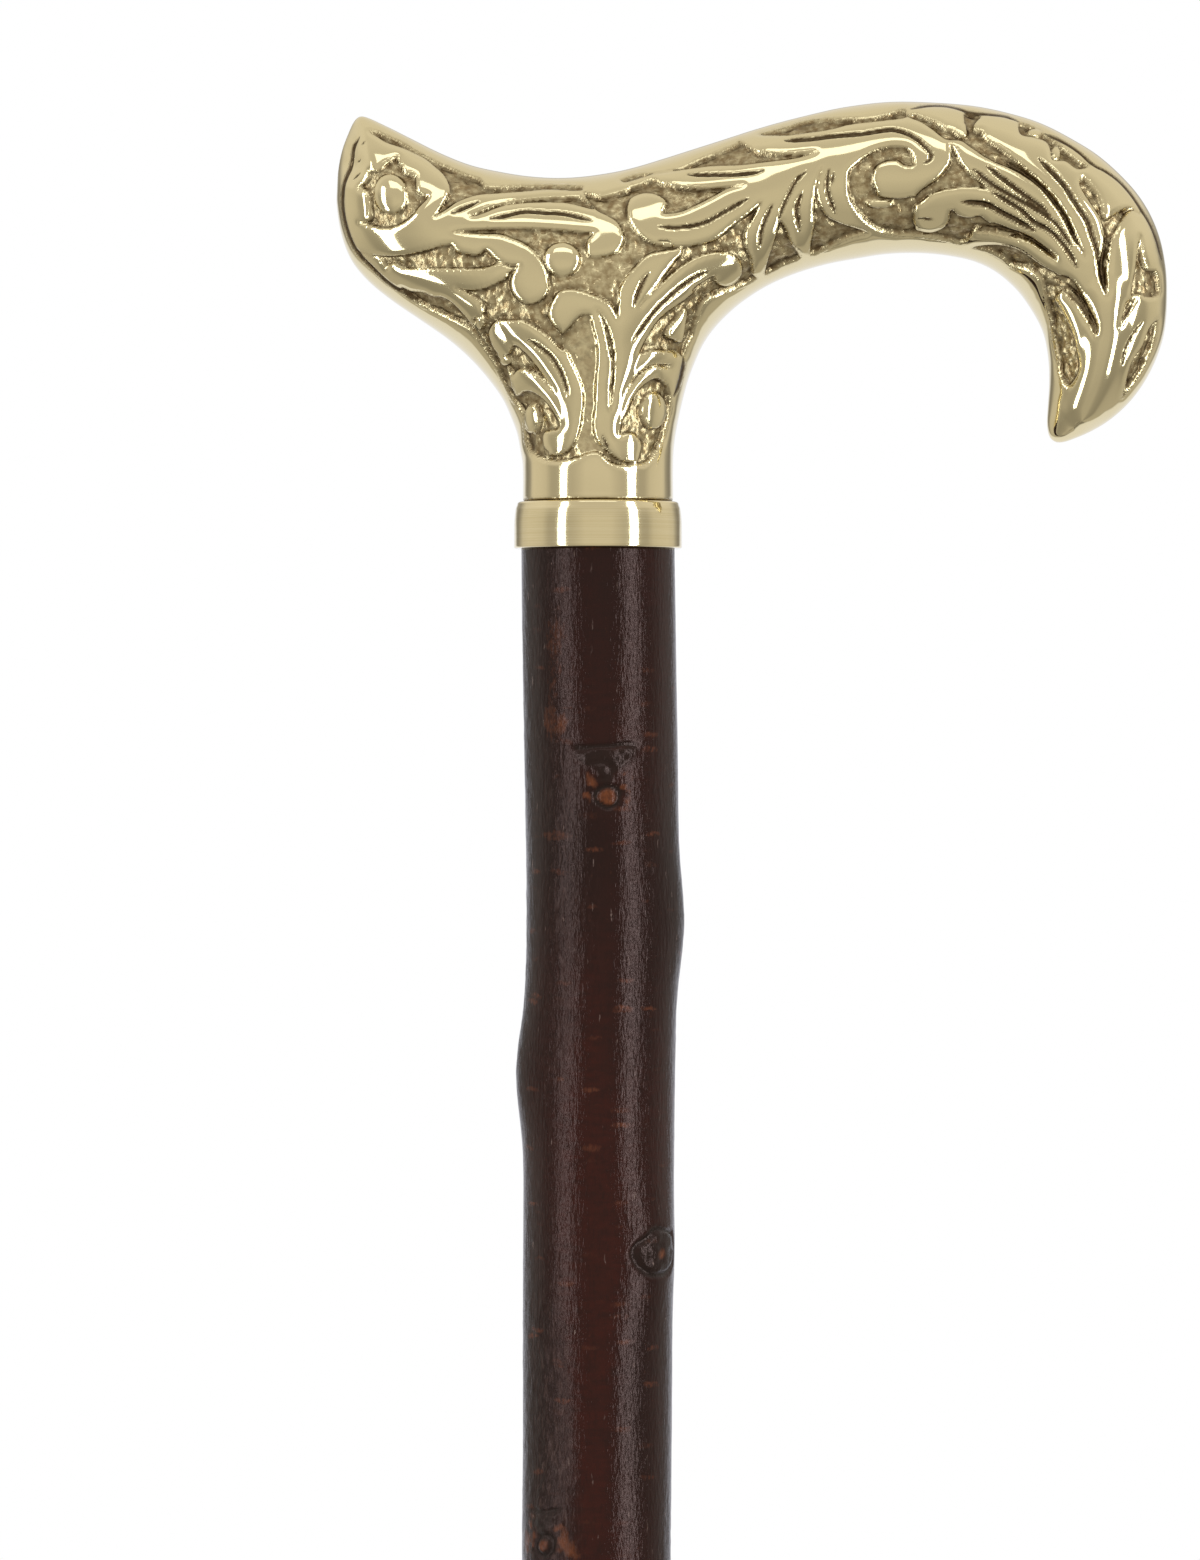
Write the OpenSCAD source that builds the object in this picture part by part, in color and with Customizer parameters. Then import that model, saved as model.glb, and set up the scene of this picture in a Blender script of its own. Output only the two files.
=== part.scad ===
// Walking stick: a cast brass derby handle on a blackthorn shaft with its bark on.
// Millimetres, +Z up. The origin is the centre of the ferrule's sole, on the shaft's axis.
// +X points to the nose of the handle, and the handle is alike on its +Y and -Y sides.

/* [Overall] */
// Height from the floor to the top of the handle
stick_height = 914; // [760:1:1000]

/* [Handle] */
// Length of the handle from its back end to the outside of its nose
handle_length = 125; // [112:1:138]
// Height of the handle above its seat on the collar
handle_height = 59.5; // [54:0.5:66]
// Thickness of the handle across the palm
handle_thickness = 22; // [20:0.5:26]
// Wall of the hollow casting
handle_wall = 3; // [2:0.25:4]
// Diameter of the neck at its seat on the collar
neck_d = 22.6; // [21.6:0.1:24.4]
// Diameter of the bore in the neck
socket_d = 17; // [16:0.25:18]

/* [Collar] */
// Diameter of the collar at the middle of its band
collar_d = 25.2; // [24.6:0.1:27]
// Height of the collar
collar_h = 7.5; // [5:0.5:12]
// Radius of the collar's rolled top and bottom edges
collar_edge_r = 1.2; // [0.4:0.1:1.6]

/* [Fixing inside the neck] */
// Length of the wooden plug in the neck
plug_length = 30; // [24:1:36]
// Diameter of the threaded insert's body
insert_d = 12; // [11:0.5:13]
// Length of the threaded insert with its flange
insert_length = 16; // [12:1:20]
// Diameter of the insert's flange
insert_flange_d = 15; // [14:0.25:15.5]
// Thickness of the insert's flange
insert_flange_h = 1.5; // [1:0.25:2.5]
// Thread diameter of the stud
stud_d = 8; // [6:1:10]
// Length of the stud
stud_length = 66; // [56:1:76]
// Length of the stud above the shaft's spigot
stud_rise = 22; // [18:1:23]
// Bevel at both ends of the stud
stud_bevel = 0.8; // [0.4:0.1:1.2]
// Room all round for adhesive between bonded pieces
bond_gap = 0.05; // [0.02:0.01:0.15]

/* [Shaft] */
// Diameter of the shaft under the collar
shaft_top_d = 23; // [20:0.25:24]
// Diameter of the turned tip inside the ferrule
shaft_tip_d = 18; // [16:0.25:20]
// Step from the natural shaft in to its turned tip
tip_step = 0.75; // [0.4:0.05:2]
// Diameter of the spigot that centres the collar
spigot_d = 17; // [14:0.25:18]
// Height that a trimmed knot stands off the bark
knot_rise = 1.3; // [0.6:0.1:2]
// Length of a knot along the shaft
knot_length = 17; // [12:1:22]
// Furthest that the natural stick wanders from its axis
shaft_wander = 3; // [0:0.5:5]

/* [Ferrule] */
// Diameter of the ferrule's foot
ferrule_foot_d = 36; // [34:0.5:42]
// Height of the straight band round the foot
ferrule_foot_h = 10; // [8:0.5:14]
// Height of the ferrule
ferrule_h = 42; // [36:1:52]
// Rubber wall round the shaft's tip
ferrule_wall = 4; // [3:0.25:5]
// Thickness of the rubber under the tip
sole_h = 9; // [7:0.5:11]
// Radius of the grip rings round the ferrule
grip_ring_r = 1.2; // [0.8:0.1:1.6]
// Depth of the tread grooves in the sole
tread_depth = 1.5; // [1:0.25:2.5]
// Thickness of the steel washer under the tip
washer_h = 1.5; // [1:0.25:2.5]
// Hole in the steel washer
washer_hole_d = 5; // [3:0.5:7]
// Room all round between the shaft's tip and the ferrule
ferrule_clearance = 0.05; // [0.02:0.01:0.1]

/* [Hidden] */

// Shared heights, from the floor up
tip_z = sole_h + washer_h;
seat_z = stick_height - handle_height;
shoulder_z = seat_z - collar_h;
overrun = 1;
round_steps = 64;

// Where the shaft's axis meets the handle, as a share of the handle's length from its back end
neck_place_share = 0.316;
reach_back = neck_place_share * handle_length - neck_d / 2;
reach_front = (1 - neck_place_share) * handle_length - neck_d / 2;

// Stations along the bar from its back end to the tip of its nose. Each row has the point on the
// top line, the point on the underside and the thickness there. The points are shares of the
// handle's length, from its back end, and of its height, from its seat.
bar_shares = [
    [0.002, 0.765, 0.002, 0.728, 0.12],
    [0.007, 0.867, 0.006, 0.670, 0.52],
    [0.017, 0.927, 0.016, 0.617, 0.72],
    [0.033, 0.962, 0.036, 0.562, 0.84],
    [0.066, 0.937, 0.073, 0.494, 0.93],
    [0.114, 0.884, 0.126, 0.418, 0.98],
    [0.174, 0.834, 0.186, 0.388, 1.00],
    [0.234, 0.813, 0.246, 0.388, 1.00],
    [0.306, 0.813, 0.318, 0.413, 1.00],
    [0.378, 0.846, 0.396, 0.446, 1.00],
    [0.450, 0.894, 0.474, 0.486, 1.00],
    [0.522, 0.942, 0.540, 0.557, 1.00],
    [0.594, 0.980, 0.604, 0.597, 1.00],
    [0.666, 1.000, 0.666, 0.617, 0.99],
    [0.738, 0.998, 0.726, 0.615, 0.97],
    [0.810, 0.972, 0.774, 0.592, 0.95],
    [0.870, 0.924, 0.808, 0.549, 0.93],
    [0.918, 0.861, 0.830, 0.499, 0.90],
    [0.960, 0.776, 0.844, 0.446, 0.86],
    [0.988, 0.670, 0.852, 0.388, 0.81],
    [0.999, 0.552, 0.856, 0.330, 0.75],
    [0.996, 0.426, 0.857, 0.280, 0.67],
    [0.978, 0.315, 0.856, 0.237, 0.57],
    [0.948, 0.232, 0.855, 0.199, 0.45],
    [0.906, 0.166, 0.855, 0.169, 0.30],
    [0.873, 0.144, 0.858, 0.149, 0.13]
];

// Stations up the neck from its seat. Each row has the height as a share of the handle's height,
// how far the neck spreads back and forward as shares of the room on each side of it, and how
// far its thickness has changed from the neck's diameter to the bar's thickness.
neck_shares = [
    [0.000, 0.000, 0.000, 0.00],
    [0.070, 0.000, 0.000, 0.00],
    [0.124, 0.011, 0.002, 0.05],
    [0.174, 0.035, 0.007, 0.15],
    [0.224, 0.078, 0.015, 0.30],
    [0.275, 0.138, 0.026, 0.45],
    [0.325, 0.220, 0.038, 0.60],
    [0.375, 0.326, 0.055, 0.75],
    [0.413, 0.429, 0.073, 0.85],
    [0.451, 0.546, 0.098, 0.92],
    [0.489, 0.660, 0.131, 0.96],
    [0.526, 0.770, 0.175, 1.00]
];
// The neck narrows in thickness where it runs up into the bar
neck_top_shares = [[0, 1], [0.413, 1], [0.451, 0.98], [0.489, 0.93], [0.526, 0.84], [1, 0.84]];
// Fullness of the bar's section: 1 is an ellipse, and less is squarer
section_share = 0.9;
bar_sides = 24;
bar_rings_per_station = 2;
neck_rings_per_station = 2;

// The hollow in the bar runs between these stations, counted from the back end
hollow_first_station = 3;
hollow_last_station = 21;
hollow_sides = 16;

// Trimmed knots on the shaft. Each row has the distance below the collar as a share of the
// natural shaft's length, the turn round the shaft from +X, and the knot's size.
knot_shares = [
    [0.045, 0.760, 0.55],
    [0.070, 0.000, 0.75],
    [0.098, 0.505, 1.00],
    [0.131, 0.895, 0.80],
    [0.160, 0.230, 0.90],
    [0.184, 0.630, 0.75],
    [0.231, 0.030, 1.00],
    [0.268, 0.420, 0.85],
    [0.310, 0.800, 1.00],
    [0.352, 0.190, 0.90],
    [0.398, 0.580, 1.00],
    [0.447, 0.970, 0.90],
    [0.496, 0.350, 1.00],
    [0.548, 0.730, 0.85],
    [0.602, 0.110, 1.00],
    [0.655, 0.490, 0.90],
    [0.712, 0.880, 0.95],
    [0.771, 0.260, 0.85],
    [0.836, 0.650, 0.80],
    [0.902, 0.040, 0.70]
];
// Line of the natural stick from the collar down: distance, then how far it stands to +X and +Y
wander_shares = [
    [0.00, 0.00, 0.00],
    [0.06, 0.20, 0.05],
    [0.12, 0.00, 0.15],
    [0.22, -0.10, 0.30],
    [0.36, -0.50, 0.60],
    [0.50, -0.30, 0.90],
    [0.64, 0.30, 0.70],
    [0.78, 0.60, 0.20],
    [0.90, 0.30, -0.10],
    [1.00, 0.00, 0.00]
];
// Half the width of a knot round the shaft, as a share of a turn
knot_half_turn_share = 0.085;
// Length of shaft that turns from the collar's round seat into the natural stick
round_run_share = 0.012;
shaft_sides = 20;
shaft_rings = 120;

// Straight length of the turned tip above the ferrule, and how far it runs into the natural shaft
tip_show = 2;
tip_run_in = 12;
natural_foot_z = ferrule_h + tip_show;
natural_length = shoulder_z - natural_foot_z;

// The tread is rings of rubber between grooves. Each row is the inside and the outside of a
// groove as shares of the foot's radius.
tread_shares = [[0.22, 0.33], [0.46, 0.58], [0.71, 0.83]];
foot_bevel = 1;
mouth_bevel = 0.8;
// Heights of the grip rings as shares of the ferrule's upper part
grip_ring_shares = [0.45, 0.68, 0.93];
// The ferrule's shoulder rises over this share of the height above the foot
ferrule_shoulder_share = 0.32;
shoulder_steps = 8;

// Colours as the photograph shows them; the fixing inside the neck isn't seen
brass = [0.79, 0.71, 0.50];
beech = [0.80, 0.62, 0.42];
steel = [0.66, 0.67, 0.68];
bark = [0.20, 0.10, 0.08];
rubber = [0.09, 0.09, 0.09];

// Smooth curve through the rows of a table: whole numbers of t are the rows themselves
function row_at(rows, t) =
    let (
        last = len(rows) - 1,
        i = min(floor(t), last - 1),
        f = t - i,
        a = rows[max(i - 1, 0)],
        b = rows[i],
        c = rows[i + 1],
        d = rows[min(i + 2, last)]
    )
    b + f * ((c - a) / 2 + f * ((2 * a - 5 * b + 4 * c - d) / 2 + f * (3 * (b - c) + d - a) / 2));

// Straight-line reading of a table whose first column rises
function read_at(rows, key, column) = lookup(key, [for (r = rows) [r[0], r[column]]]);

// Reads a table smoothly at a value of its first column
function curve_at(rows, key) =
    let (
        i = max([for (k = [0 : len(rows) - 2]) if (rows[k][0] <= key) k]),
        f = (key - rows[i][0]) / (rows[i + 1][0] - rows[i][0])
    )
    row_at(rows, i + f);

// Power that keeps the sign, for sections between an ellipse and a rounded square
function signed_pow(v, p) = sign(v) * pow(abs(v), p);

// Closed solid through rings of points that all turn the same way, capped at both ends
module loft(rings) {
    n = len(rings[0]);
    m = len(rings);
    walls = [
        for (i = [0 : m - 2], j = [0 : n - 1])
            let (k = (j + 1) % n)
            each [
                [i * n + j, (i + 1) * n + j, i * n + k],
                [i * n + k, (i + 1) * n + j, (i + 1) * n + k]
            ]
    ];
    first_cap = [for (j = [1 : n - 2]) [0, j, j + 1]];
    last_cap = [for (j = [1 : n - 2]) [(m - 1) * n, (m - 1) * n + j + 1, (m - 1) * n + j]];
    polyhedron(points = [for (r = rings) each r], faces = concat(walls, first_cap, last_cap));
}

// One section of the bar: an oval between its top and underside points, drawn in by inset
function bar_ring(row, inset, sides) =
    let (
        top = [(row[0] - neck_place_share) * handle_length, row[1] * handle_height + seat_z],
        under = [(row[2] - neck_place_share) * handle_length, row[3] * handle_height + seat_z],
        middle = (top + under) / 2,
        half = norm(top - under) / 2,
        up = (top - under) / (2 * half) * (half - inset),
        side = row[4] * handle_thickness / 2 - inset
    )
    [
        for (j = [0 : sides - 1])
            let (
                a = 360 * j / sides,
                u = signed_pow(cos(a), section_share),
                v = signed_pow(sin(a), section_share)
            )
            [middle[0] + up[0] * u, -side * v, middle[1] + up[1] * u]
    ];

function bar_rings(first, last, inset, sides) = [
    for (i = [first * bar_rings_per_station : last * bar_rings_per_station])
        bar_ring(row_at(bar_shares, i / bar_rings_per_station), inset, sides)
];

// One level section of the neck
function neck_ring(row) =
    let (
        back = neck_d / 2 + row[1] * reach_back,
        front = neck_d / 2 + row[2] * reach_front,
        half_x = (back + front) / 2,
        half_y = (neck_d + row[3] * (handle_thickness - neck_d)) / 2 * read_at(neck_top_shares, row[0], 1)
    )
    [
        for (j = [0 : bar_sides - 1])
            let (a = 360 * j / bar_sides)
            [(front - back) / 2 + half_x * cos(a), half_y * sin(a), seat_z + row[0] * handle_height]
    ];

neck_rings = [
    for (i = [0 : (len(neck_shares) - 1) * neck_rings_per_station])
        neck_ring(row_at(neck_shares, i / neck_rings_per_station))
];

// Hollow casting of one piece, with a bar for the hand and a neck bored for the plug
module handle() {
    color(brass)
        difference() {
            union() {
                loft(bar_rings(0, len(bar_shares) - 1, 0, bar_sides));
                loft(neck_rings);
            }
            loft(bar_rings(hollow_first_station, hollow_last_station, handle_wall, hollow_sides));
            translate([0, 0, seat_z - overrun])
                cylinder(d = socket_d, h = plug_length + overrun, $fn = round_steps);
        }
}

// Beech plug glued into the neck, bored for the insert and the end of the stud
module neck_plug() {
    insert_room_d = insert_d + 2 * bond_gap;
    flange_room_d = insert_flange_d + 2 * bond_gap;
    stud_room_d = stud_d + 2 * bond_gap;
    color(beech)
        difference() {
            translate([0, 0, seat_z])
                cylinder(d = socket_d - 2 * bond_gap, h = plug_length, $fn = round_steps);
            translate([0, 0, seat_z - overrun])
                cylinder(d = insert_room_d, h = insert_length + overrun, $fn = round_steps);
            translate([0, 0, seat_z - overrun])
                cylinder(d = flange_room_d, h = insert_flange_h + overrun, $fn = round_steps);
            translate([0, 0, seat_z])
                cylinder(d = stud_room_d, h = stud_rise + overrun, $fn = round_steps);
        }
}

// Flanged insert in the foot of the plug that takes the stud's thread
module threaded_insert() {
    color(steel)
        translate([0, 0, seat_z])
            difference() {
                union() {
                    cylinder(d = insert_d, h = insert_length, $fn = round_steps);
                    cylinder(d = insert_flange_d, h = insert_flange_h, $fn = round_steps);
                }
                translate([0, 0, -overrun])
                    cylinder(d = stud_d + 2 * bond_gap, h = insert_length + 2 * overrun, $fn = round_steps);
            }
}

// Steel stud glued into the shaft and screwed into the insert, drawn at its thread's outside
module stud() {
    r = stud_d / 2;
    color(steel)
        translate([0, 0, seat_z + stud_rise - stud_length])
            rotate_extrude($fn = round_steps)
                polygon([
                    [0, 0],
                    [r - stud_bevel, 0],
                    [r, stud_bevel],
                    [r, stud_length - stud_bevel],
                    [r - stud_bevel, stud_length],
                    [0, stud_length]
                ]);
}

// Turned ring with a flat band between rolled edges, slid over the shaft's spigot
module collar() {
    r = collar_d / 2;
    bore_r = spigot_d / 2 + bond_gap;
    color(brass)
        translate([0, 0, shoulder_z])
            rotate_extrude($fn = round_steps)
                union() {
                    translate([bore_r, 0])
                        square([r - collar_edge_r - bore_r, collar_h]);
                    translate([bore_r, collar_edge_r])
                        square([r - bore_r, collar_h - 2 * collar_edge_r]);
                    for (z = [collar_edge_r, collar_h - collar_edge_r])
                        translate([r - collar_edge_r, z])
                            circle(r = collar_edge_r, $fn = round_steps);
                }
}

// How far a point of the bark is lifted by the knots round it
function knot_lift(below, turn) =
    max([
        for (k = knot_shares)
            let (
                along = (below - k[0]) * natural_length / (knot_length / 2),
                off = turn - k[1],
                around = (off - round(off)) / knot_half_turn_share
            )
            k[2] * knot_rise * exp(-along * along - around * around)
    ]);

// One level ring of the natural shaft, a share below the collar
function shaft_ring(below) =
    let (
        line = curve_at(wander_shares, below),
        natural = min(1, below / round_run_share, (1 - below) / round_run_share),
        foot_d = shaft_tip_d + 2 * tip_step,
        r = (shaft_top_d + (foot_d - shaft_top_d) * below) / 2
    )
    [
        for (j = [0 : shaft_sides - 1])
            let (
                turn = j / shaft_sides,
                reach = r + natural * knot_lift(below, turn)
            )
            [
                line[1] * shaft_wander + reach * cos(360 * turn),
                line[2] * shaft_wander + reach * sin(360 * turn),
                shoulder_z - below * natural_length
            ]
    ];

// One stick of blackthorn, with a spigot turned at the top and a plain tip turned at the foot
module shaft() {
    stud_depth = stud_length - stud_rise;
    color(bark)
        difference() {
            union() {
                loft([for (i = [0 : shaft_rings]) shaft_ring(1 - i / shaft_rings)]);
                translate([0, 0, shoulder_z - overrun])
                    cylinder(d = spigot_d, h = collar_h + overrun, $fn = round_steps);
                translate([0, 0, tip_z])
                    cylinder(d = shaft_tip_d, h = natural_foot_z - tip_z + tip_run_in, $fn = round_steps);
            }
            translate([0, 0, seat_z - stud_depth])
                cylinder(d = stud_d + 2 * bond_gap, h = stud_depth + overrun, $fn = round_steps);
        }
}

// Steel washer that keeps the tip from punching through the rubber
module ferrule_washer() {
    color(steel)
        translate([0, 0, sole_h])
            difference() {
                cylinder(d = shaft_tip_d, h = washer_h, $fn = round_steps);
                translate([0, 0, -overrun])
                    cylinder(d = washer_hole_d, h = washer_h + 2 * overrun, $fn = round_steps);
            }
}

// Moulded rubber foot pushed over the shaft's tip
module ferrule() {
    foot_r = ferrule_foot_d / 2;
    bore_r = shaft_tip_d / 2 + ferrule_clearance;
    sleeve_r = bore_r + ferrule_wall;
    upper_h = ferrule_h - ferrule_foot_h;
    shoulder_h = upper_h * ferrule_shoulder_share;
    shoulder = [
        for (i = [0 : shoulder_steps])
            let (a = 90 * i / shoulder_steps)
            [foot_r - (foot_r - sleeve_r) * sin(a), ferrule_foot_h + shoulder_h * (1 - cos(a))]
    ];
    color(rubber)
        rotate_extrude($fn = round_steps)
            difference() {
                union() {
                    polygon(concat(
                        [[0, 0], [foot_r - foot_bevel, 0], [foot_r, foot_bevel]],
                        shoulder,
                        [
                            [sleeve_r, ferrule_h - mouth_bevel],
                            [sleeve_r - mouth_bevel, ferrule_h],
                            [bore_r, ferrule_h],
                            [bore_r, sole_h],
                            [0, sole_h]
                        ]
                    ));
                    for (s = grip_ring_shares)
                        translate([sleeve_r, ferrule_foot_h + s * upper_h])
                            circle(r = grip_ring_r, $fn = round_steps);
                }
                for (t = tread_shares)
                    translate([t[0] * foot_r, -overrun])
                        square([(t[1] - t[0]) * foot_r, tread_depth + overrun]);
            }
}

handle();
neck_plug();
threaded_insert();
stud();
collar();
shaft();
ferrule_washer();
ferrule();
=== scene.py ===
import math

import bpy
import numpy as np
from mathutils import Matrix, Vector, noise


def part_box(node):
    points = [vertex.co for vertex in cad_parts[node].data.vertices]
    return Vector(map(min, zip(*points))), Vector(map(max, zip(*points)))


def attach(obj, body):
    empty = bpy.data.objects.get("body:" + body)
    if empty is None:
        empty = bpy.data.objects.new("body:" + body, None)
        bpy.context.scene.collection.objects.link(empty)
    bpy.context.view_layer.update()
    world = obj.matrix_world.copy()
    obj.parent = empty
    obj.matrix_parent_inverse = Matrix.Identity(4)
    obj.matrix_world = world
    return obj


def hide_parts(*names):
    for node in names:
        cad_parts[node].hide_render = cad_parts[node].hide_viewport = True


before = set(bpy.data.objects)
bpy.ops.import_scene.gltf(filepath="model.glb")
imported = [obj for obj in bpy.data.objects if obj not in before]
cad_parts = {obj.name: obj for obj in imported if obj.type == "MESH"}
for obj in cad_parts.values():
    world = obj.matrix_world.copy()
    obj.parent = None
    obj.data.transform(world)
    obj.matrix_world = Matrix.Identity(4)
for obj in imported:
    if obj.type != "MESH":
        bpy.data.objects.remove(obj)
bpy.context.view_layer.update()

# Shaft: one stick of blackthorn with its bark left on. The side shoots are sawn off close, which
# leaves a low knot at each with a fold of bark over it, and the whole is varnished. Its line and
# its knots are those of the solid that it stands for.
MM = 0.001
foot_gap = 2.0
shoulder_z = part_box("collar")[0][2] / MM
natural_foot_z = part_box("ferrule")[1][2] / MM + foot_gap
natural_length = shoulder_z - natural_foot_z
shaft_top_r = 11.5
shaft_foot_r = 9.75
tip_r, tip_chamfer = 9.0, 0.6
tip_low_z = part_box("shaft")[0][2] / MM
shaft_wander = 3.0
knot_rise = 1.3
knot_half_length = 8.5
knot_half_turn = 0.085
round_run = 0.012
# Distance below the collar as a share, turn from +X, and size, then the radius of the ring round the
# sawn shoot, of its pale heart and half the width of the bark fold over it, in millimetres. A knot
# with no ring has healed over.
knots = np.array([
    (0.045, 0.762, 0.55, 1.6, 1.20, 5.4), (0.070, 0.000, 0.75, 0.0, 0.00, 0.0),
    (0.098, 0.505, 1.00, 0.0, 0.00, 0.0), (0.131, 0.888, 0.80, 3.3, 0.65, 0.0),
    (0.160, 0.230, 0.90, 1.5, 1.10, 4.4), (0.184, 0.634, 0.75, 1.5, 0.75, 3.4),
    (0.231, 0.030, 1.00, 1.8, 1.30, 5.0), (0.268, 0.420, 0.85, 1.4, 1.00, 4.0),
    (0.310, 0.800, 1.00, 1.9, 1.30, 5.2), (0.352, 0.190, 0.90, 2.8, 1.00, 0.0),
    (0.398, 0.580, 1.00, 1.8, 1.30, 4.8), (0.447, 0.970, 0.90, 1.4, 1.00, 4.2),
    (0.496, 0.350, 1.00, 1.9, 1.40, 5.0), (0.548, 0.730, 0.85, 1.5, 1.10, 3.8),
    (0.602, 0.110, 1.00, 1.7, 1.20, 4.6), (0.655, 0.490, 0.90, 2.9, 1.00, 0.0),
    (0.712, 0.880, 0.95, 1.8, 1.30, 4.4), (0.771, 0.260, 0.85, 1.4, 1.00, 3.6),
    (0.836, 0.650, 0.80, 1.5, 1.10, 3.8), (0.902, 0.040, 0.70, 1.3, 0.90, 3.2),
])
# Distance below the collar, then how far the stick stands to +X and +Y, as shares
wander = np.array([
    (0.00, 0.00, 0.00), (0.06, 0.20, 0.05), (0.12, 0.00, 0.15), (0.22, -0.10, 0.30),
    (0.36, -0.50, 0.60), (0.50, -0.30, 0.90), (0.64, 0.30, 0.70), (0.78, 0.60, 0.20),
    (0.90, 0.30, -0.10), (1.00, 0.00, 0.00),
])


def linear(code):
    """An sRGB hex colour as linear RGBA."""
    parts = [int(code[i:i + 2], 16) / 255 for i in (1, 3, 5)]
    return [c / 12.92 if c < 0.04045 else ((c + 0.055) / 1.055) ** 2.4 for c in parts] + [1.0]


def add_node(tree, kind, inputs=None, **settings):
    """A node with its settings, and its inputs set to values or linked to other nodes or their sockets."""
    made = tree.nodes.new("ShaderNode" + kind)
    for name, value in settings.items():
        setattr(made, name, value)
    for key, value in (inputs or {}).items():
        if isinstance(value, bpy.types.Node):
            value = next(socket for socket in value.outputs if socket.enabled)
        if isinstance(value, bpy.types.NodeSocket):
            tree.links.new(value, made.inputs[key])
        else:
            made.inputs[key].default_value = value
    return made


def new_material(name):
    """An empty material and its node tree."""
    material = bpy.data.materials.new(name)
    material.use_nodes = True
    material.node_tree.nodes.clear()
    return material, material.node_tree


def new_piece(name, points, faces, material, body, slot, node, **layers):
    """A smooth mesh in millimetres that rides on a body in place of a CAD node."""
    mesh = bpy.data.meshes.new(name)
    mesh.from_pydata((np.asarray(points) * MM).tolist(), [], faces)
    mesh.shade_smooth()
    for layer, values in layers.items():
        mesh.attributes.new(layer, "FLOAT", "POINT").data.foreach_set("value", values.astype(np.float32))
    mesh.materials.append(material)
    piece = bpy.data.objects.new(name, mesh)
    bpy.context.scene.collection.objects.link(piece)
    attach(piece, body)
    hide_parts(node)


def lumps(places, size):
    """Smooth random heights from about -1 to 1, in lumps of a size in millimetres along x, y and z."""
    heights = [noise.noise(place) for place in (places / size).reshape(-1, 3).tolist()]
    return np.reshape(heights, places.shape[:-1])


def ease(share):
    """A share from 0 to 1 that leaves 0 and reaches 1 smoothly."""
    share = np.clip(share, 0, 1)
    return share * share * (3 - 2 * share)


def circle(r, h, columns):
    """A ring of points at a height, anticlockwise from +X."""
    angle = 2 * math.pi * np.arange(columns) / columns
    return np.stack([r * np.cos(angle), r * np.sin(angle), np.full(columns, h)], -1)


def tube_faces(rows, columns, closed=False):
    """Quads between rings of points, each anticlockwise, going up and back to the first if closed."""
    i, j = np.meshgrid(np.arange(rows if closed else rows - 1), np.arange(columns), indexing="ij")
    up, on = (i + 1) % rows * columns, (j + 1) % columns
    return np.stack([i * columns + j, i * columns + on, up + on, up + j], -1).reshape(-1, 4).tolist()


# Rows of the mesh lie closer at the knots, and on the length that the camera sees
seen_length = 154.0
seen_foot_z = shoulder_z - seen_length
shaft_columns = 176
fine_reach = 8.0
row_steps = {"seen knot": 0.30, "seen bark": 0.60, "knot": 0.95, "bark": 2.2}
knot_z = shoulder_z - knots[:, 0] * natural_length
shaft_z = [natural_foot_z]
while shaft_z[-1] < shoulder_z - row_steps["seen bark"]:
    at_knot = np.abs(knot_z - shaft_z[-1]).min() < fine_reach
    seen = "seen " if shaft_z[-1] > seen_foot_z else ""
    shaft_z.append(shaft_z[-1] + row_steps[seen + ("knot" if at_knot else "bark")])
shaft_z.append(shoulder_z)
z, turn = np.meshgrid(shaft_z, np.arange(shaft_columns) / shaft_columns, indexing="ij")
under = shoulder_z - z
below = under / natural_length
natural = np.clip(np.minimum(below, 1 - below) / round_run, 0, 1)
outward = np.stack([np.cos(2 * math.pi * turn), np.sin(2 * math.pi * turn)], -1)
skin = np.concatenate([shaft_top_r * outward, z[..., None]], -1)


def streak(middle, half):
    """A soft streak up the stick, from its middle and half width in turns."""
    return np.exp(-((turn - middle) / half) ** 2)


# Some of the bark is split into fine upright ridges with pits, most of it left of the camera's
# middle, and some is smooth, with dark red showing through lower down
patch_gain, rough_base, red_base, red_lower, red_streak = 1.2, 0.15, 0.1, 0.35, 0.9
less_red_if_rough = 0.5
lower_from, lower_run, lowest_from, lowest_run = 42.0, 25.0, 108.0, 20.0
patch = lumps(skin, (13, 13, 40))
lower, lowest = ease((under - lower_from) / lower_run), ease((under - lowest_from) / lowest_run)
# Middle and half width of each streak, how much rougher it is, and where along the stick
rough_streaks = (
    (0.662, 0.035, 0.4, 1.0), (0.67, 0.045, 0.8, lowest), (0.83, 0.08, -0.45, 1.0),
    (0.74, 0.06, -0.6, lower),
)
rough = rough_base + patch_gain * patch
for middle, half, rougher, where in rough_streaks:
    rough = rough + rougher * where * streak(middle, half)
rough = np.clip(rough, 0, 1)
red = red_base - patch_gain * patch + lower * (red_lower + red_streak * streak(0.735, 0.065))
red = np.clip(red, 0, 1) * (1 - less_red_if_rough * rough)
# Heights of slow swells, of fine ridges on smooth and on rough bark, and of crumbs, in millimetres
swell_high, ridge_low, ridge_high, crumb_high = 0.20, 0.015, 0.07, 0.08
crumble, waver = lumps(skin, 1.1), lumps(skin, 3.2)
grain = swell_high * lumps(skin, (8, 8, 34)) + crumb_high * rough * crumble
grain = grain + (ridge_low + ridge_high * rough) * lumps(skin, (1.1, 1.1, 2.4))
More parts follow.
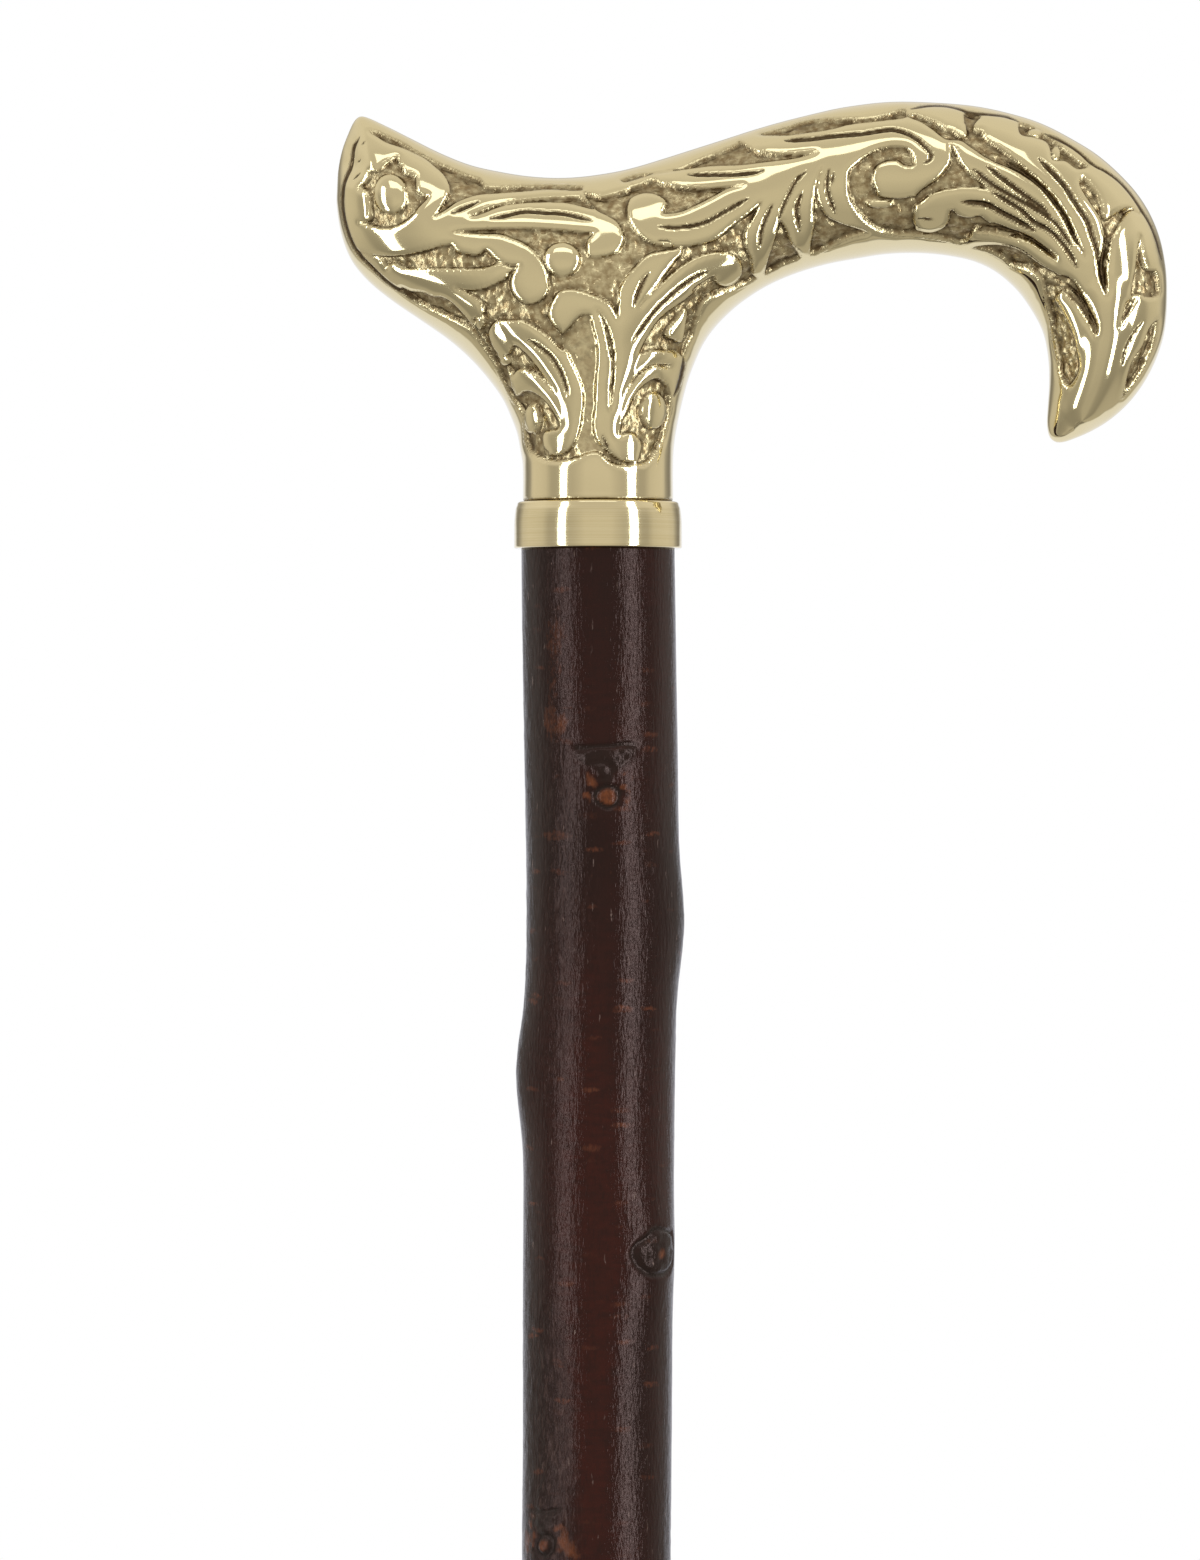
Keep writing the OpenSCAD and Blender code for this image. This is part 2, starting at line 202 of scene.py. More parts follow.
# Depths and half widths of the knots' grooves, and how far their parts fade, in millimetres
groove_deep, groove_half, groove_low = 0.5, 0.42, 1.0
heart_fade, ring_fade, fold_fade, fold_end_fade, fold_under = 0.5, 0.6, 1.4, 1.2, 0.4
crease_deep, crease_half, crease_fade = 0.35, 0.4, 1.5
worn_off, worn_below, worn_below_fade, worn_above, worn_above_fade = 0.9, 3.0, 1.5, 3.5, 2.0
# How crooked the grooves run, and how high the sawn wood and the fold stand, with their crumbs
crooked, crooked_fine, crooked_up = 0.9, 0.3, 0.6
sawn_high, sawn_crumb, fold_thick, fold_crumb = 0.15, 0.2, 0.15, 0.35
# Sizes of the knots' parts for each millimetre of their ring or fold
healed_squash, flank_share, fold_foot_share, fold_high_share = 0.75, 1.3, 0.8, 1.25
# How dark the sawn wood and the fold are, and how far their sides are worn, evenly and in crumbs
dark_share, worn_most, worn_even, worn_crumb = 0.7, 0.8, 0.3, 2.2
lift, scar, heart, worn = (np.zeros_like(z) for layer in range(4))
for share, knot_turn, size, ring_r, heart_r, fold_half in knots:
    up = (share - below) * natural_length
    around = turn - knot_turn
    around -= np.round(around)
    swell = size * knot_rise * np.exp(-(up / knot_half_length) ** 2 - (around / knot_half_turn) ** 2)
    lift = np.maximum(lift, swell)
    if ring_r == 0:
        continue
    # A crooked groove, painted dark as shade, rings the sawn shoot, which is pale in its middle
    folded = fold_half > 0
    across = np.abs(around) * 2 * math.pi * shaft_top_r + crooked * waver + crooked_fine * crumble
    wide = across if folded else healed_squash * across
    off = np.hypot(wide, up + groove_low * folded + crooked_up * waver)
    groove = np.exp(-((off - ring_r) / groove_half) ** 2)
    in_heart = ease((heart_r - off) / heart_fade + 0.5)
    in_ring = ease((ring_r - off) / ring_fade)
    lift = lift - groove_deep * groove + in_ring * (sawn_high + sawn_crumb * crumble)
    dark = np.maximum(groove, dark_share * in_ring)
    flank = flank_share * ring_r
    if folded:
        # Over it lies a wedge of bark that the shoot pushed up, with a crease above painted dark as shade
        fold_high, foot_half = fold_high_share * fold_half, fold_foot_share * ring_r
        half = foot_half + (fold_half - foot_half) * ease(up / fold_high)
        in_fold = ease((half - across) / fold_fade) * ease((fold_high - up + waver) / fold_end_fade)
        in_fold = in_fold * ease((up + fold_under) / fold_end_fade)
        crease = np.exp(-((up - fold_high - waver) / crease_half) ** 2)
        crease = crease * ease((fold_half - across) / crease_fade)
        lift = lift + in_fold * (fold_thick + fold_crumb * crumble) - crease_deep * crease
        dark = np.maximum(dark, np.maximum(dark_share * in_fold, crease))
        flank = np.where(up > 0, half, flank)
    beside = np.exp(-((across - flank - worn_off) / worn_off) ** 2)
    beside = beside * ease((up + worn_below) / worn_below_fade) * ease((worn_above - up) / worn_above_fade)
    scar = np.maximum(scar, dark) * (1 - in_heart)
    heart = np.maximum(heart, in_heart)
    in_crumbs = np.clip(worn_even + worn_crumb * crumble, 0, 1)
    worn = np.maximum(worn, worn_most * beside * in_crumbs * folded)


def smooth_read(rows, keys, column):
    """The CAD model's smooth curve through one column of a table, read at values of its first."""
    i = np.clip(np.searchsorted(rows[:, 0], keys, "right") - 1, 0, len(rows) - 2)
    f = (keys - rows[i, 0]) / (rows[i + 1, 0] - rows[i, 0])
    v = rows[:, column]
    a, b, c, d = v[np.maximum(i - 1, 0)], v[i], v[i + 1], v[np.minimum(i + 2, len(rows) - 1)]
    return b + f * ((c - a) / 2 + f * ((2 * a - 5 * b + 4 * c - d) / 2 + f * (3 * (b - c) + d - a) / 2))


reach = shaft_top_r + (shaft_foot_r - shaft_top_r) * below + natural * (lift + grain)
bend = shaft_wander * np.stack([smooth_read(wander, below, column) for column in (1, 2)], -1)
shaft_points = np.concatenate([bend + reach[..., None] * outward, z[..., None]], -1).reshape(-1, 3)
# Where hands and the saw have rubbed the bark through: height under the collar and turn of each
# place, its half length and half width, in millimetres and turns, and how far it is worn
rubbed = (
    (14, 0.655, 5, 0.030, 0.30), (24, 0.640, 4, 0.022, 0.36), (26.8, 0.672, 2.2, 0.016, 0.60),
    (43, 0.640, 0.7, 0.070, 0.34), (148.4, 0.685, 2.2, 0.020, 0.75), (148.4, 0.575, 2.0, 0.016, 0.60),
)
rub_edge, rub_waver, rub_crumb = 1.4, 0.9, 0.4
for rub_under, rub_turn, rub_half, rub_half_turn, share in rubbed:
    away = np.hypot((under - rub_under) / rub_half, (turn - rub_turn) / rub_half_turn)
    worn = np.maximum(worn, share * ease(rub_edge - away + rub_waver * waver + rub_crumb * crumble))
worn = worn * (1 - np.maximum(heart, scar))
# The turned tip below and the round top close the tube
tip_profile = (
    (tip_r - tip_chamfer, tip_low_z), (tip_r, tip_low_z + tip_chamfer), (tip_r, natural_foot_z),
)
tip_rings = [circle(r, h, shaft_columns) for r, h in tip_profile]
shaft_points = np.concatenate(tip_rings + [shaft_points])
shaft_faces = tube_faces(len(shaft_z) + len(tip_rings), shaft_columns)
shaft_faces.append(list(range(shaft_columns))[::-1])
shaft_faces.append(list(range(len(shaft_points) - shaft_columns, len(shaft_points))))
# The tip is bare wood, as the hearts of the knots are
bark_layers = {"rough": rough, "red": red, "scar": scar, "heart": heart, "worn": worn}
for name, layer in bark_layers.items():
    on_tip = np.full(len(tip_rings) * shaft_columns, 1.0 if name == "heart" else 0.0)
    bark_layers[name] = np.concatenate([on_tip, layer.ravel()])

# Blackthorn bark under clear varnish: near black with dark red patches, fine upright grain, pits
# that break up the light, and the short level dashes of the bark's pores. The knots' grooves and
# creases are painted dark as shade.
blackthorn, tree = new_material("varnished blackthorn bark")
place = add_node(tree, "TexCoord").outputs["Object"]
share_of = {
    name: add_node(tree, "Attribute", attribute_name=name).outputs["Fac"] for name in bark_layers
}


def per_size(sizes_mm):
    """The scale that gives the lumps of a pattern a size in millimetres along x, y and z."""
    return [1 / (size * MM) for size in sizes_mm]


noise_mm = {
    "grain": (0.5, 0.5, 1.8), "pits": (0.5, 0.5, 0.9), "mottle": (3.0, 3.0, 0.9), "stir": (2.0, 2.0, 2.0),
}
bark_noise = {}
for name, lump_mm in noise_mm.items():
    scaled = add_node(tree, "VectorMath", {0: place, 1: per_size(lump_mm)}, operation="MULTIPLY")
    bark_noise[name] = add_node(tree, "TexNoise", {
        "Vector": scaled, "Scale": 1.0, "Detail": 3.0, "Roughness": 0.6,
    })
stir_far_mm = 1.3
stirred = add_node(tree, "VectorMath", {
    0: bark_noise["stir"].outputs["Color"], 1: (stir_far_mm * MM,) * 3, 2: place,
}, operation="MULTIPLY_ADD")
# Level dashes are the bark's pores, thin upright ones are scratches in the varnish, painted pale as the
# glints of light that they catch. Size of the room for each in millimetres, the share of it that a dash
# fills, and the share of rooms left empty. In a Map Range, inputs 1 and 2 are the range that is read,
# and 3 and 4 the range that comes out.
dash_kinds = {"pores": ((4.4, 4.4, 1.2), 0.44, 0.84), "scratches": ((0.9, 0.9, 7.0), 0.15, 0.50)}
dash_share = {}
for name, (room_mm, filled, empty) in dash_kinds.items():
    scaled = add_node(tree, "VectorMath", {0: stirred, 1: per_size(room_mm)}, operation="MULTIPLY")
    rooms = add_node(tree, "TexVoronoi", {"Vector": scaled, "Scale": 1.0})
    inside = add_node(tree, "MapRange", {0: rooms, 1: filled, 2: 0.4 * filled})
    pick = add_node(tree, "SeparateColor", {0: rooms.outputs["Color"]})
    strength = add_node(tree, "MapRange", {0: pick, 1: empty, 2: 1.0})
    broken = add_node(tree, "MapRange", {0: bark_noise["pits"], 1: 0.36, 2: 0.56})
    whole = add_node(tree, "Math", {0: inside, 1: strength}, operation="MULTIPLY")
    dash_share[name] = add_node(tree, "Math", {0: whole, 1: broken}, operation="MULTIPLY")
mottled = add_node(tree, "MapRange", {0: bark_noise["mottle"], 1: 0.3, 2: 0.7, 3: 0.45, 4: 1.1})
red_share = add_node(tree, "Math", {0: share_of["red"], 1: mottled}, operation="MULTIPLY")
grain_share = add_node(tree, "MapRange", {0: bark_noise["grain"], 1: 0.5, 2: 0.72, 4: 0.4})
scuff = add_node(tree, "MapRange", {0: bark_noise["grain"], 1: 0.50, 2: 0.34, 4: 0.55})
scuff_share = add_node(tree, "Math", {0: share_of["rough"], 1: scuff}, operation="MULTIPLY")
worn_spots = add_node(tree, "Math", {0: bark_noise["pits"], 1: share_of["worn"]}, operation="ADD")
worn_share = add_node(tree, "MapRange", {0: worn_spots, 1: 0.65, 2: 1.35})
heart_spots = add_node(tree, "MapRange", {0: bark_noise["pits"], 1: 0.3, 2: 0.6, 3: 0.45})
heart_share = add_node(tree, "Math", {0: share_of["heart"], 1: heart_spots}, operation="MULTIPLY")
# Each layer covers those before it. Inputs 6 and 7 of a colour Mix are its two colours.
bark_tone = linear("#180D0B")
# The scar tone is the own dark of the sawn wood and the folds, and painted shade in the knots' grooves and
# creases
for layer_share, tone in (
    (red_share, "#2D100B"), (grain_share, "#120C0A"), (scuff_share, "#42322E"),
    (dash_share["pores"], "#502B1C"), (worn_share, "#58301C"), (share_of["scar"], "#191411"),
    (heart_share, "#5E331D"), (dash_share["scratches"], "#6C5B55"),
):
    bark_tone = add_node(tree, "Mix", {0: layer_share, 6: bark_tone, 7: linear(tone)}, data_type="RGBA")
pitted = add_node(tree, "Math", {0: bark_noise["pits"], 1: share_of["rough"]}, operation="MULTIPLY")
bark_height = add_node(tree, "Math", {0: bark_noise["grain"], 1: pitted}, operation="ADD")
bark_high_mm = 0.16
bark_bump = add_node(tree, "Bump", {
    "Height": bark_height, "Strength": 0.68, "Distance": bark_high_mm * MM,
})
varnish = add_node(tree, "BsdfPrincipled", {
    "Base Color": bark_tone,
    "Normal": bark_bump,
    "Roughness": add_node(tree, "MapRange", {0: share_of["rough"], 3: 0.15, 4: 0.30}),
    "Specular IOR Level": 0.25,
    "Specular Tint": (1.0, 0.70, 0.64, 1.0),
})
add_node(tree, "OutputMaterial", {"Surface": varnish})
new_piece(
    "bark_shaft", shaft_points, shaft_faces, blackthorn, "stick", "blackthorn", "shaft", **bark_layers,
)

# Collar: a brass ring turned from bar, with rolled top and bottom edges, clamped between the
# shaft's shoulder and the foot of the handle.
collar_low, collar_high = (np.array(corner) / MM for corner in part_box("collar"))
collar_r = collar_high[0]
collar_edge_r, collar_top_edge_r = 0.25, 0.5
seam_drop = 0.5
seat_z = collar_high[2] - seam_drop
collar_swell, collar_swell_share = 0.42, 0.55
collar_bore_r = 8.05
collar_columns, edge_steps, wall_steps = 192, 7, 20
collar_flat = 1.0
roll = [(math.cos(a), math.sin(a)) for a in np.linspace(0, math.pi / 2, edge_steps)]
collar_profile = [(collar_bore_r, collar_low[2]), (collar_r - collar_edge_r - collar_flat, collar_low[2])]
collar_profile += [
    (collar_r - collar_edge_r * (1 - u), collar_low[2] + collar_edge_r * (1 - v)) for u, v in roll[::-1]
]
# The wall leans in towards the top, where it meets the neck a little under the solid's top
for h in np.linspace(collar_low[2] + 2 * collar_edge_r, seat_z - 2 * collar_top_edge_r, wall_steps):
    share = (seat_z - h) / (seat_z - collar_low[2])
    lean = collar_swell * max(1 - share / collar_swell_share, 0) ** 2
    collar_profile.append((collar_r - lean, h))
top_r = collar_r - collar_swell - collar_top_edge_r
collar_profile += [(top_r + collar_top_edge_r * u, seat_z - collar_top_edge_r * (1 - v)) for u, v in roll]
collar_profile += [(top_r - collar_flat, seat_z), (collar_bore_r, seat_z)]
collar_points = np.concatenate([circle(r, h, collar_columns) for r, h in collar_profile])
collar_faces = tube_faces(len(collar_profile), collar_columns, closed=True)


def lumped(name, lump_mm, tones, roughness, metallic=0.0):
    """A material whose tone and roughness change in lumps of a size in millimetres along x, y and z."""
    material, tree = new_material(name)
    place = add_node(tree, "TexCoord").outputs["Object"]
    scaled = add_node(tree, "VectorMath", {0: place, 1: per_size(lump_mm)}, operation="MULTIPLY")
    lump = add_node(tree, "TexNoise", {"Vector": scaled, "Scale": 1.0, "Detail": 3.0})
    share = add_node(tree, "MapRange", {0: lump, 1: 0.3, 2: 0.7})
    shader = add_node(tree, "BsdfPrincipled", {
        "Base Color": add_node(tree, "Mix", {
            0: share, 6: linear(tones[0]), 7: linear(tones[1]),
        }, data_type="RGBA"),
        "Roughness": add_node(tree, "MapRange", {0: share, 3: roughness[0], 4: roughness[1]}),
        "Metallic": metallic,
    })
    add_node(tree, "OutputMaterial", {"Surface": shader})
    return material


# Turned and polished brass: a clear mirror with faint level tool lines.
turned_brass = lumped("turned brass", (30, 30, 0.12), ("#E0D0A4", "#E9DBB3"), (0.07, 0.11), metallic=1.0)
new_piece("collar_ring", collar_points, collar_faces, turned_brass, "stick", "turned_brass", "collar")

# Handle: one hollow brass casting in the derby shape, with acanthus scrolls in relief. The scrolls
# are polished, the sunk ground between them is stippled and left dark with patina and painted shade, and
# the neck is plain.
px_mm = 0.15
axis_px, top_px = 598.0, 102.0
top_z = 914.0
centre_px = (600.0, 780.0)
camera_distance = 1200.0
neck_r = 11.3
bore_r, bore_depth = 8.5, 30.0
# Outline of the casting in pixels of the photograph, clockwise from its back corner
outline_px = [
    (362, 116), (386, 126), (410, 138), (440, 153), (470, 165), (500, 172), (530, 176.5), (560, 178),
    (590, 176), (620, 171), (650, 163), (710, 144), (770, 125), (830, 110), (860, 105), (890, 102),
    (920, 102), (950, 103.5), (980, 107), (1010, 113.5), (1040, 123), (1070, 138), (1100, 157),
    (1130, 185), (1148, 210), (1160, 238), (1166, 268), (1167.3, 295), (1165, 330), (1158, 355),
    (1146, 380), (1130, 402), (1110, 420), (1090, 432), (1071, 440), (1062, 442.5), (1055, 442),
    (1049.5, 437), (1047, 425), (1047.5, 410), (1049, 385), (1048, 358), (1042, 330), (1025, 300),
    (1011, 284), (993, 270), (973, 261), (950, 256), (928, 253.5), (905, 253), (882, 254.5), (860, 258),
    (830, 263.5), (800, 272), (770, 284.5), (745, 300), (728, 314), (713, 330), (703, 345), (696, 360),
    (688.5, 380), (683, 400), (678.5, 420), (675, 440), (673.3, 460), (673.3, 499), (673.3, 620),
    (673.3, 700), (522.7, 700), (522.7, 620), (522.7, 499), (522.5, 465), (520, 450), (517, 434),
    (512, 420), (503, 400), (489, 380), (471, 359.5), (449, 340), (421, 320.5), (391, 300), (368, 281),
    (351, 260), (341, 234), (336.4, 205), (336.6, 190), (338, 170), (342, 150), (348, 134), (355, 120),
]


def drawn(points, closed, steps=4):
    """A smooth line through points, as many short straight ones."""
    p = np.array(points, float)
    if closed:
        before, after, beyond = np.roll(p, 1, 0), np.roll(p, -1, 0), np.roll(p, -2, 0)
    else:
        before, after, beyond = p[[0, *range(len(p) - 2)]], p[1:], p[[*range(2, len(p)), -1]]
        p = p[:-1]
    d0, d1, d2 = (np.linalg.norm(v, axis=1)[:, None] for v in (p - before, after - p, beyond - after))
    leave, arrive = (after - before) * d1 / (d0 + d1), (beyond - p) * d1 / (d1 + d2)
    s = np.arange(steps)[None, :, None] / steps
    line = (2 * s**3 - 3 * s**2 + 1) * p[:, None] + (s**3 - 2 * s**2 + s) * leave[:, None]
    line = line + (3 * s**2 - 2 * s**3) * after[:, None] + (s**3 - s**2) * arrive[:, None]
    line = line.reshape(-1, 2)
    return line if closed else np.concatenate([line, after[-1:]])


def distance_to(spots, line, closed):
    """Distance of spots to a line, negative inside where the line is closed, and the way from it."""
    batch, tiny = 4000, 1e-12
    b = np.roll(line, -1, 0) if closed else line[1:]
    a = line[:len(b)]
    run = b - a
    square = np.maximum((run**2).sum(1), tiny)
    distance, way = np.empty(len(spots)), np.empty((len(spots), 2))
    for start in range(0, len(spots), batch):
        p = spots[start:start + batch, None, :]
        t = np.clip(((p - a) * run).sum(2) / square, 0, 1)
        off = p - a - t[..., None] * run
        off_square = (off**2).sum(2)
        best = np.arange(len(p)), off_square.argmin(1)
        nearest = np.sqrt(off_square[best])
        if closed:
            up = (a[:, 1] <= p[..., 1]) != (b[:, 1] <= p[..., 1])
            rise = np.where(run[:, 1] == 0, tiny, run[:, 1])
            crossing = a[:, 0] + (p[..., 1] - a[:, 1]) / rise * run[:, 0] > p[..., 0]
            nearest = np.where((up & crossing).sum(1) % 2 == 1, -nearest, nearest)
        distance[start:start + batch] = nearest
        way[start:start + batch] = off[best]
    return distance, way


outline = drawn(outline_px, True)
outline = np.stack([(outline[:, 0] - axis_px) * px_mm, top_z - (outline[:, 1] - top_px) * px_mm], -1)
# The casting's half thickness y over its outline: y squared swells from the outline as a film does
# that is stretched over it and blown up, which makes the plain neck round. In the bar, springs hold
# the film back, so that the casting stays slim where it is wide.
film_mm = 0.5
spring_mm, bar_blow = 12.0, 1.2
neck_top_z, neck_run = 868.0, 9.0
film_margin, film_under_seat = 4.0, 22.0
film_low = np.array([outline[:, 0].min() - film_margin, seat_z - film_under_seat])
film_size = np.ceil((outline.max(0) + film_margin - film_low) / film_mm).astype(int)
film_x = film_low[0] + film_mm * np.arange(film_size[0])
film_z = film_low[1] + film_mm * np.arange(film_size[1])
spots = np.stack(np.meshgrid(film_x, film_z, indexing="ij"), -1).reshape(-1, 2)
depth_in = -distance_to(spots, outline, True)[0].reshape(film_size)
held = depth_in > 0
neck_share = ease((neck_top_z - film_z) / neck_run)[None, :]
springs = (1 - neck_share) / spring_mm**2


def around_sum(grid):
    """Sum of the four cells around each cell of a grid."""
    padded = np.pad(grid, 1)
    return padded[2:, 1:-1] + padded[:-2, 1:-1] + padded[1:-1, 2:] + padded[1:-1, :-2]


def film_pull(u):
    """How hard the film and its springs pull back where they are pushed out by u."""
    u = np.where(held, u, 0)
    return np.where(held, (4 * u - around_sum(u)) / film_mm**2 + springs * u, 0)


film_steps, film_settled = 600, 1e-9
film = np.zeros(film_size)
rest = np.where(held, 2 * (neck_share + bar_blow * (1 - neck_share)), 0.0)
way, size_now = rest.copy(), (rest**2).sum()
for step in range(film_steps):
    pulled = film_pull(way)
    share = size_now / (way * pulled).sum()
    film += share * way
    rest -= share * pulled
    size_next = (rest**2).sum()
    if size_next < film_settled:
        break
    way = rest + size_next / size_now * way
    size_now = size_next
# Close to the outline the film follows the true distance, which keeps the edge clean
edge_mm, edge_passes, least_depth = 1.2, 40, 0.1
known = depth_in > edge_mm
steep = np.where(known, film / np.maximum(depth_in, least_depth), 0)
spread = steep.copy()
for step in range(edge_passes):
    total, number = around_sum(np.where(spread > 0, spread, 0)), around_sum((spread > 0) * 1.0)
    spread = np.where(known, steep, np.where(number > 0, total / np.maximum(number, 1), 0))
swell = np.where(known, film, depth_in * spread)


def swell_at(x, z):
    """Square of the half thickness at places in the casting's plane, and its slopes."""
    u, v = (x - film_low[0]) / film_mm, (z - film_low[1]) / film_mm
    iu, iv = np.floor(u).astype(int), np.floor(v).astype(int)
    value, slope_x, slope_z = 0.0, 0.0, 0.0
    parts = []
    for f in (u - iu, v - iv):
        weights = (
            (1 - f)**3 / 6, (3 * f**3 - 6 * f**2 + 4) / 6, (-3 * f**3 + 3 * f**2 + 3 * f + 1) / 6, f**3 / 6,
        )
        slopes = (-(1 - f)**2 / 2, (3 * f**2 - 4 * f) / 2, (-3 * f**2 + 2 * f + 1) / 2, f**2 / 2)
        parts.append((weights, slopes))
    for a in range(4):
        row = np.clip(iu + a - 1, 0, film_size[0] - 1)
        for b in range(4):
            height = swell[row, np.clip(iv + b - 1, 0, film_size[1] - 1)]
            value = value + parts[0][0][a] * parts[1][0][b] * height
            slope_x = slope_x + parts[0][1][a] * parts[1][0][b] * height / film_mm
            slope_z = slope_z + parts[0][0][a] * parts[1][1][b] * height / film_mm
    return value, slope_x, slope_z


# A skin of small squares over that solid, and drawn onto it
skin_mm, skin_half, skin_margin = 0.26, 14.5, 1.0
draw_steps, even_passes = 3, 6
skin_low = np.array([outline[:, 0].min() - skin_margin, -skin_half, seat_z - 1.5 * skin_mm])
skin_high = np.array([outline[:, 0].max() + skin_margin, skin_half, top_z + skin_margin])
cells = np.ceil((skin_high - skin_low) / skin_mm).astype(int)
grid_x, grid_y, grid_z = (low + skin_mm * np.arange(n + 1) for low, n in zip(skin_low, cells))
flat_z = np.maximum(grid_z, seat_z + skin_margin)
plane = np.stack(np.meshgrid(grid_x, flat_z, indexing="ij"), -1).reshape(-1, 2)
plane_swell = swell_at(plane[:, 0], plane[:, 1])[0].reshape(len(grid_x), len(grid_z))
solid = grid_y[None, :, None]**2 < plane_swell[:, None, :]
solid[:, :, -1] = False
corners = sum(
    solid[i:cells[0] + i, j:cells[1] + j, k:cells[2] + k].astype(np.int8)
    for i in (0, 1) for j in (0, 1) for k in (0, 1)
)
skin_cell = (corners > 0) & (corners < 8)
number = np.full(cells, -1)
number[skin_cell] = np.arange(skin_cell.sum())
layer = np.argwhere(skin_cell)
points = skin_low + (layer + 0.5) * skin_mm
quads = []
for axis in range(3):
    side = np.moveaxis(solid, axis, 0)
    ids = np.moveaxis(number, axis, 0)
    i, j, k = np.nonzero(side[1:, 1:-1, 1:-1] != side[:-1, 1:-1, 1:-1])
    quad = np.stack([ids[i, j, k], ids[i, j + 1, k], ids[i, j + 1, k + 1], ids[i, j, k + 1]], -1)
    turn_over = side[i, j + 1, k + 1] == (axis == 1)
    quad[turn_over] = quad[turn_over, ::-1]
    quads.append(quad)
quads = np.concatenate(quads)
quads = quads[(layer[quads, 2] > 0).all(1)]
used = np.unique(quads)
renumber = np.full(len(points), -1)
renumber[used] = np.arange(len(used))
points, quads, seat_ring = points[used], renumber[quads], layer[used, 2] == 1
edges = np.concatenate([quads[:, [i, (i + 1) % 4]] for i in range(4)])
meet = np.bincount(edges.ravel(), minlength=len(points))


def onto_casting(points):
    """Points moved onto the plain casting, and the casting's outward direction there."""
    for step in range(draw_steps):
        value, slope_x, slope_z = swell_at(points[:, 0], np.maximum(points[:, 2], seat_z + skin_margin))
        slope_z = np.where(seat_ring, 0, slope_z)
        away = np.stack([-slope_x, 2 * points[:, 1], -slope_z], -1)
        square = (away**2).sum(1)
        points = points - ((points[:, 1]**2 - value) / square)[:, None] * away
    points[seat_ring, 2] = seat_z
    return points, away / np.sqrt(square)[:, None]


def smoothed(values, times):
    """Values at the skin's points, each mixed with its neighbours a number of times."""
    for step in range(times):
        total = np.bincount(edges[:, 0], values[edges[:, 1]], len(values))
        total += np.bincount(edges[:, 1], values[edges[:, 0]], len(values))
        values = total / meet
    return values


points, away = onto_casting(points)
for step in range(even_passes):
    points, away = onto_casting(np.stack([smoothed(column, 1) for column in points.T], -1))

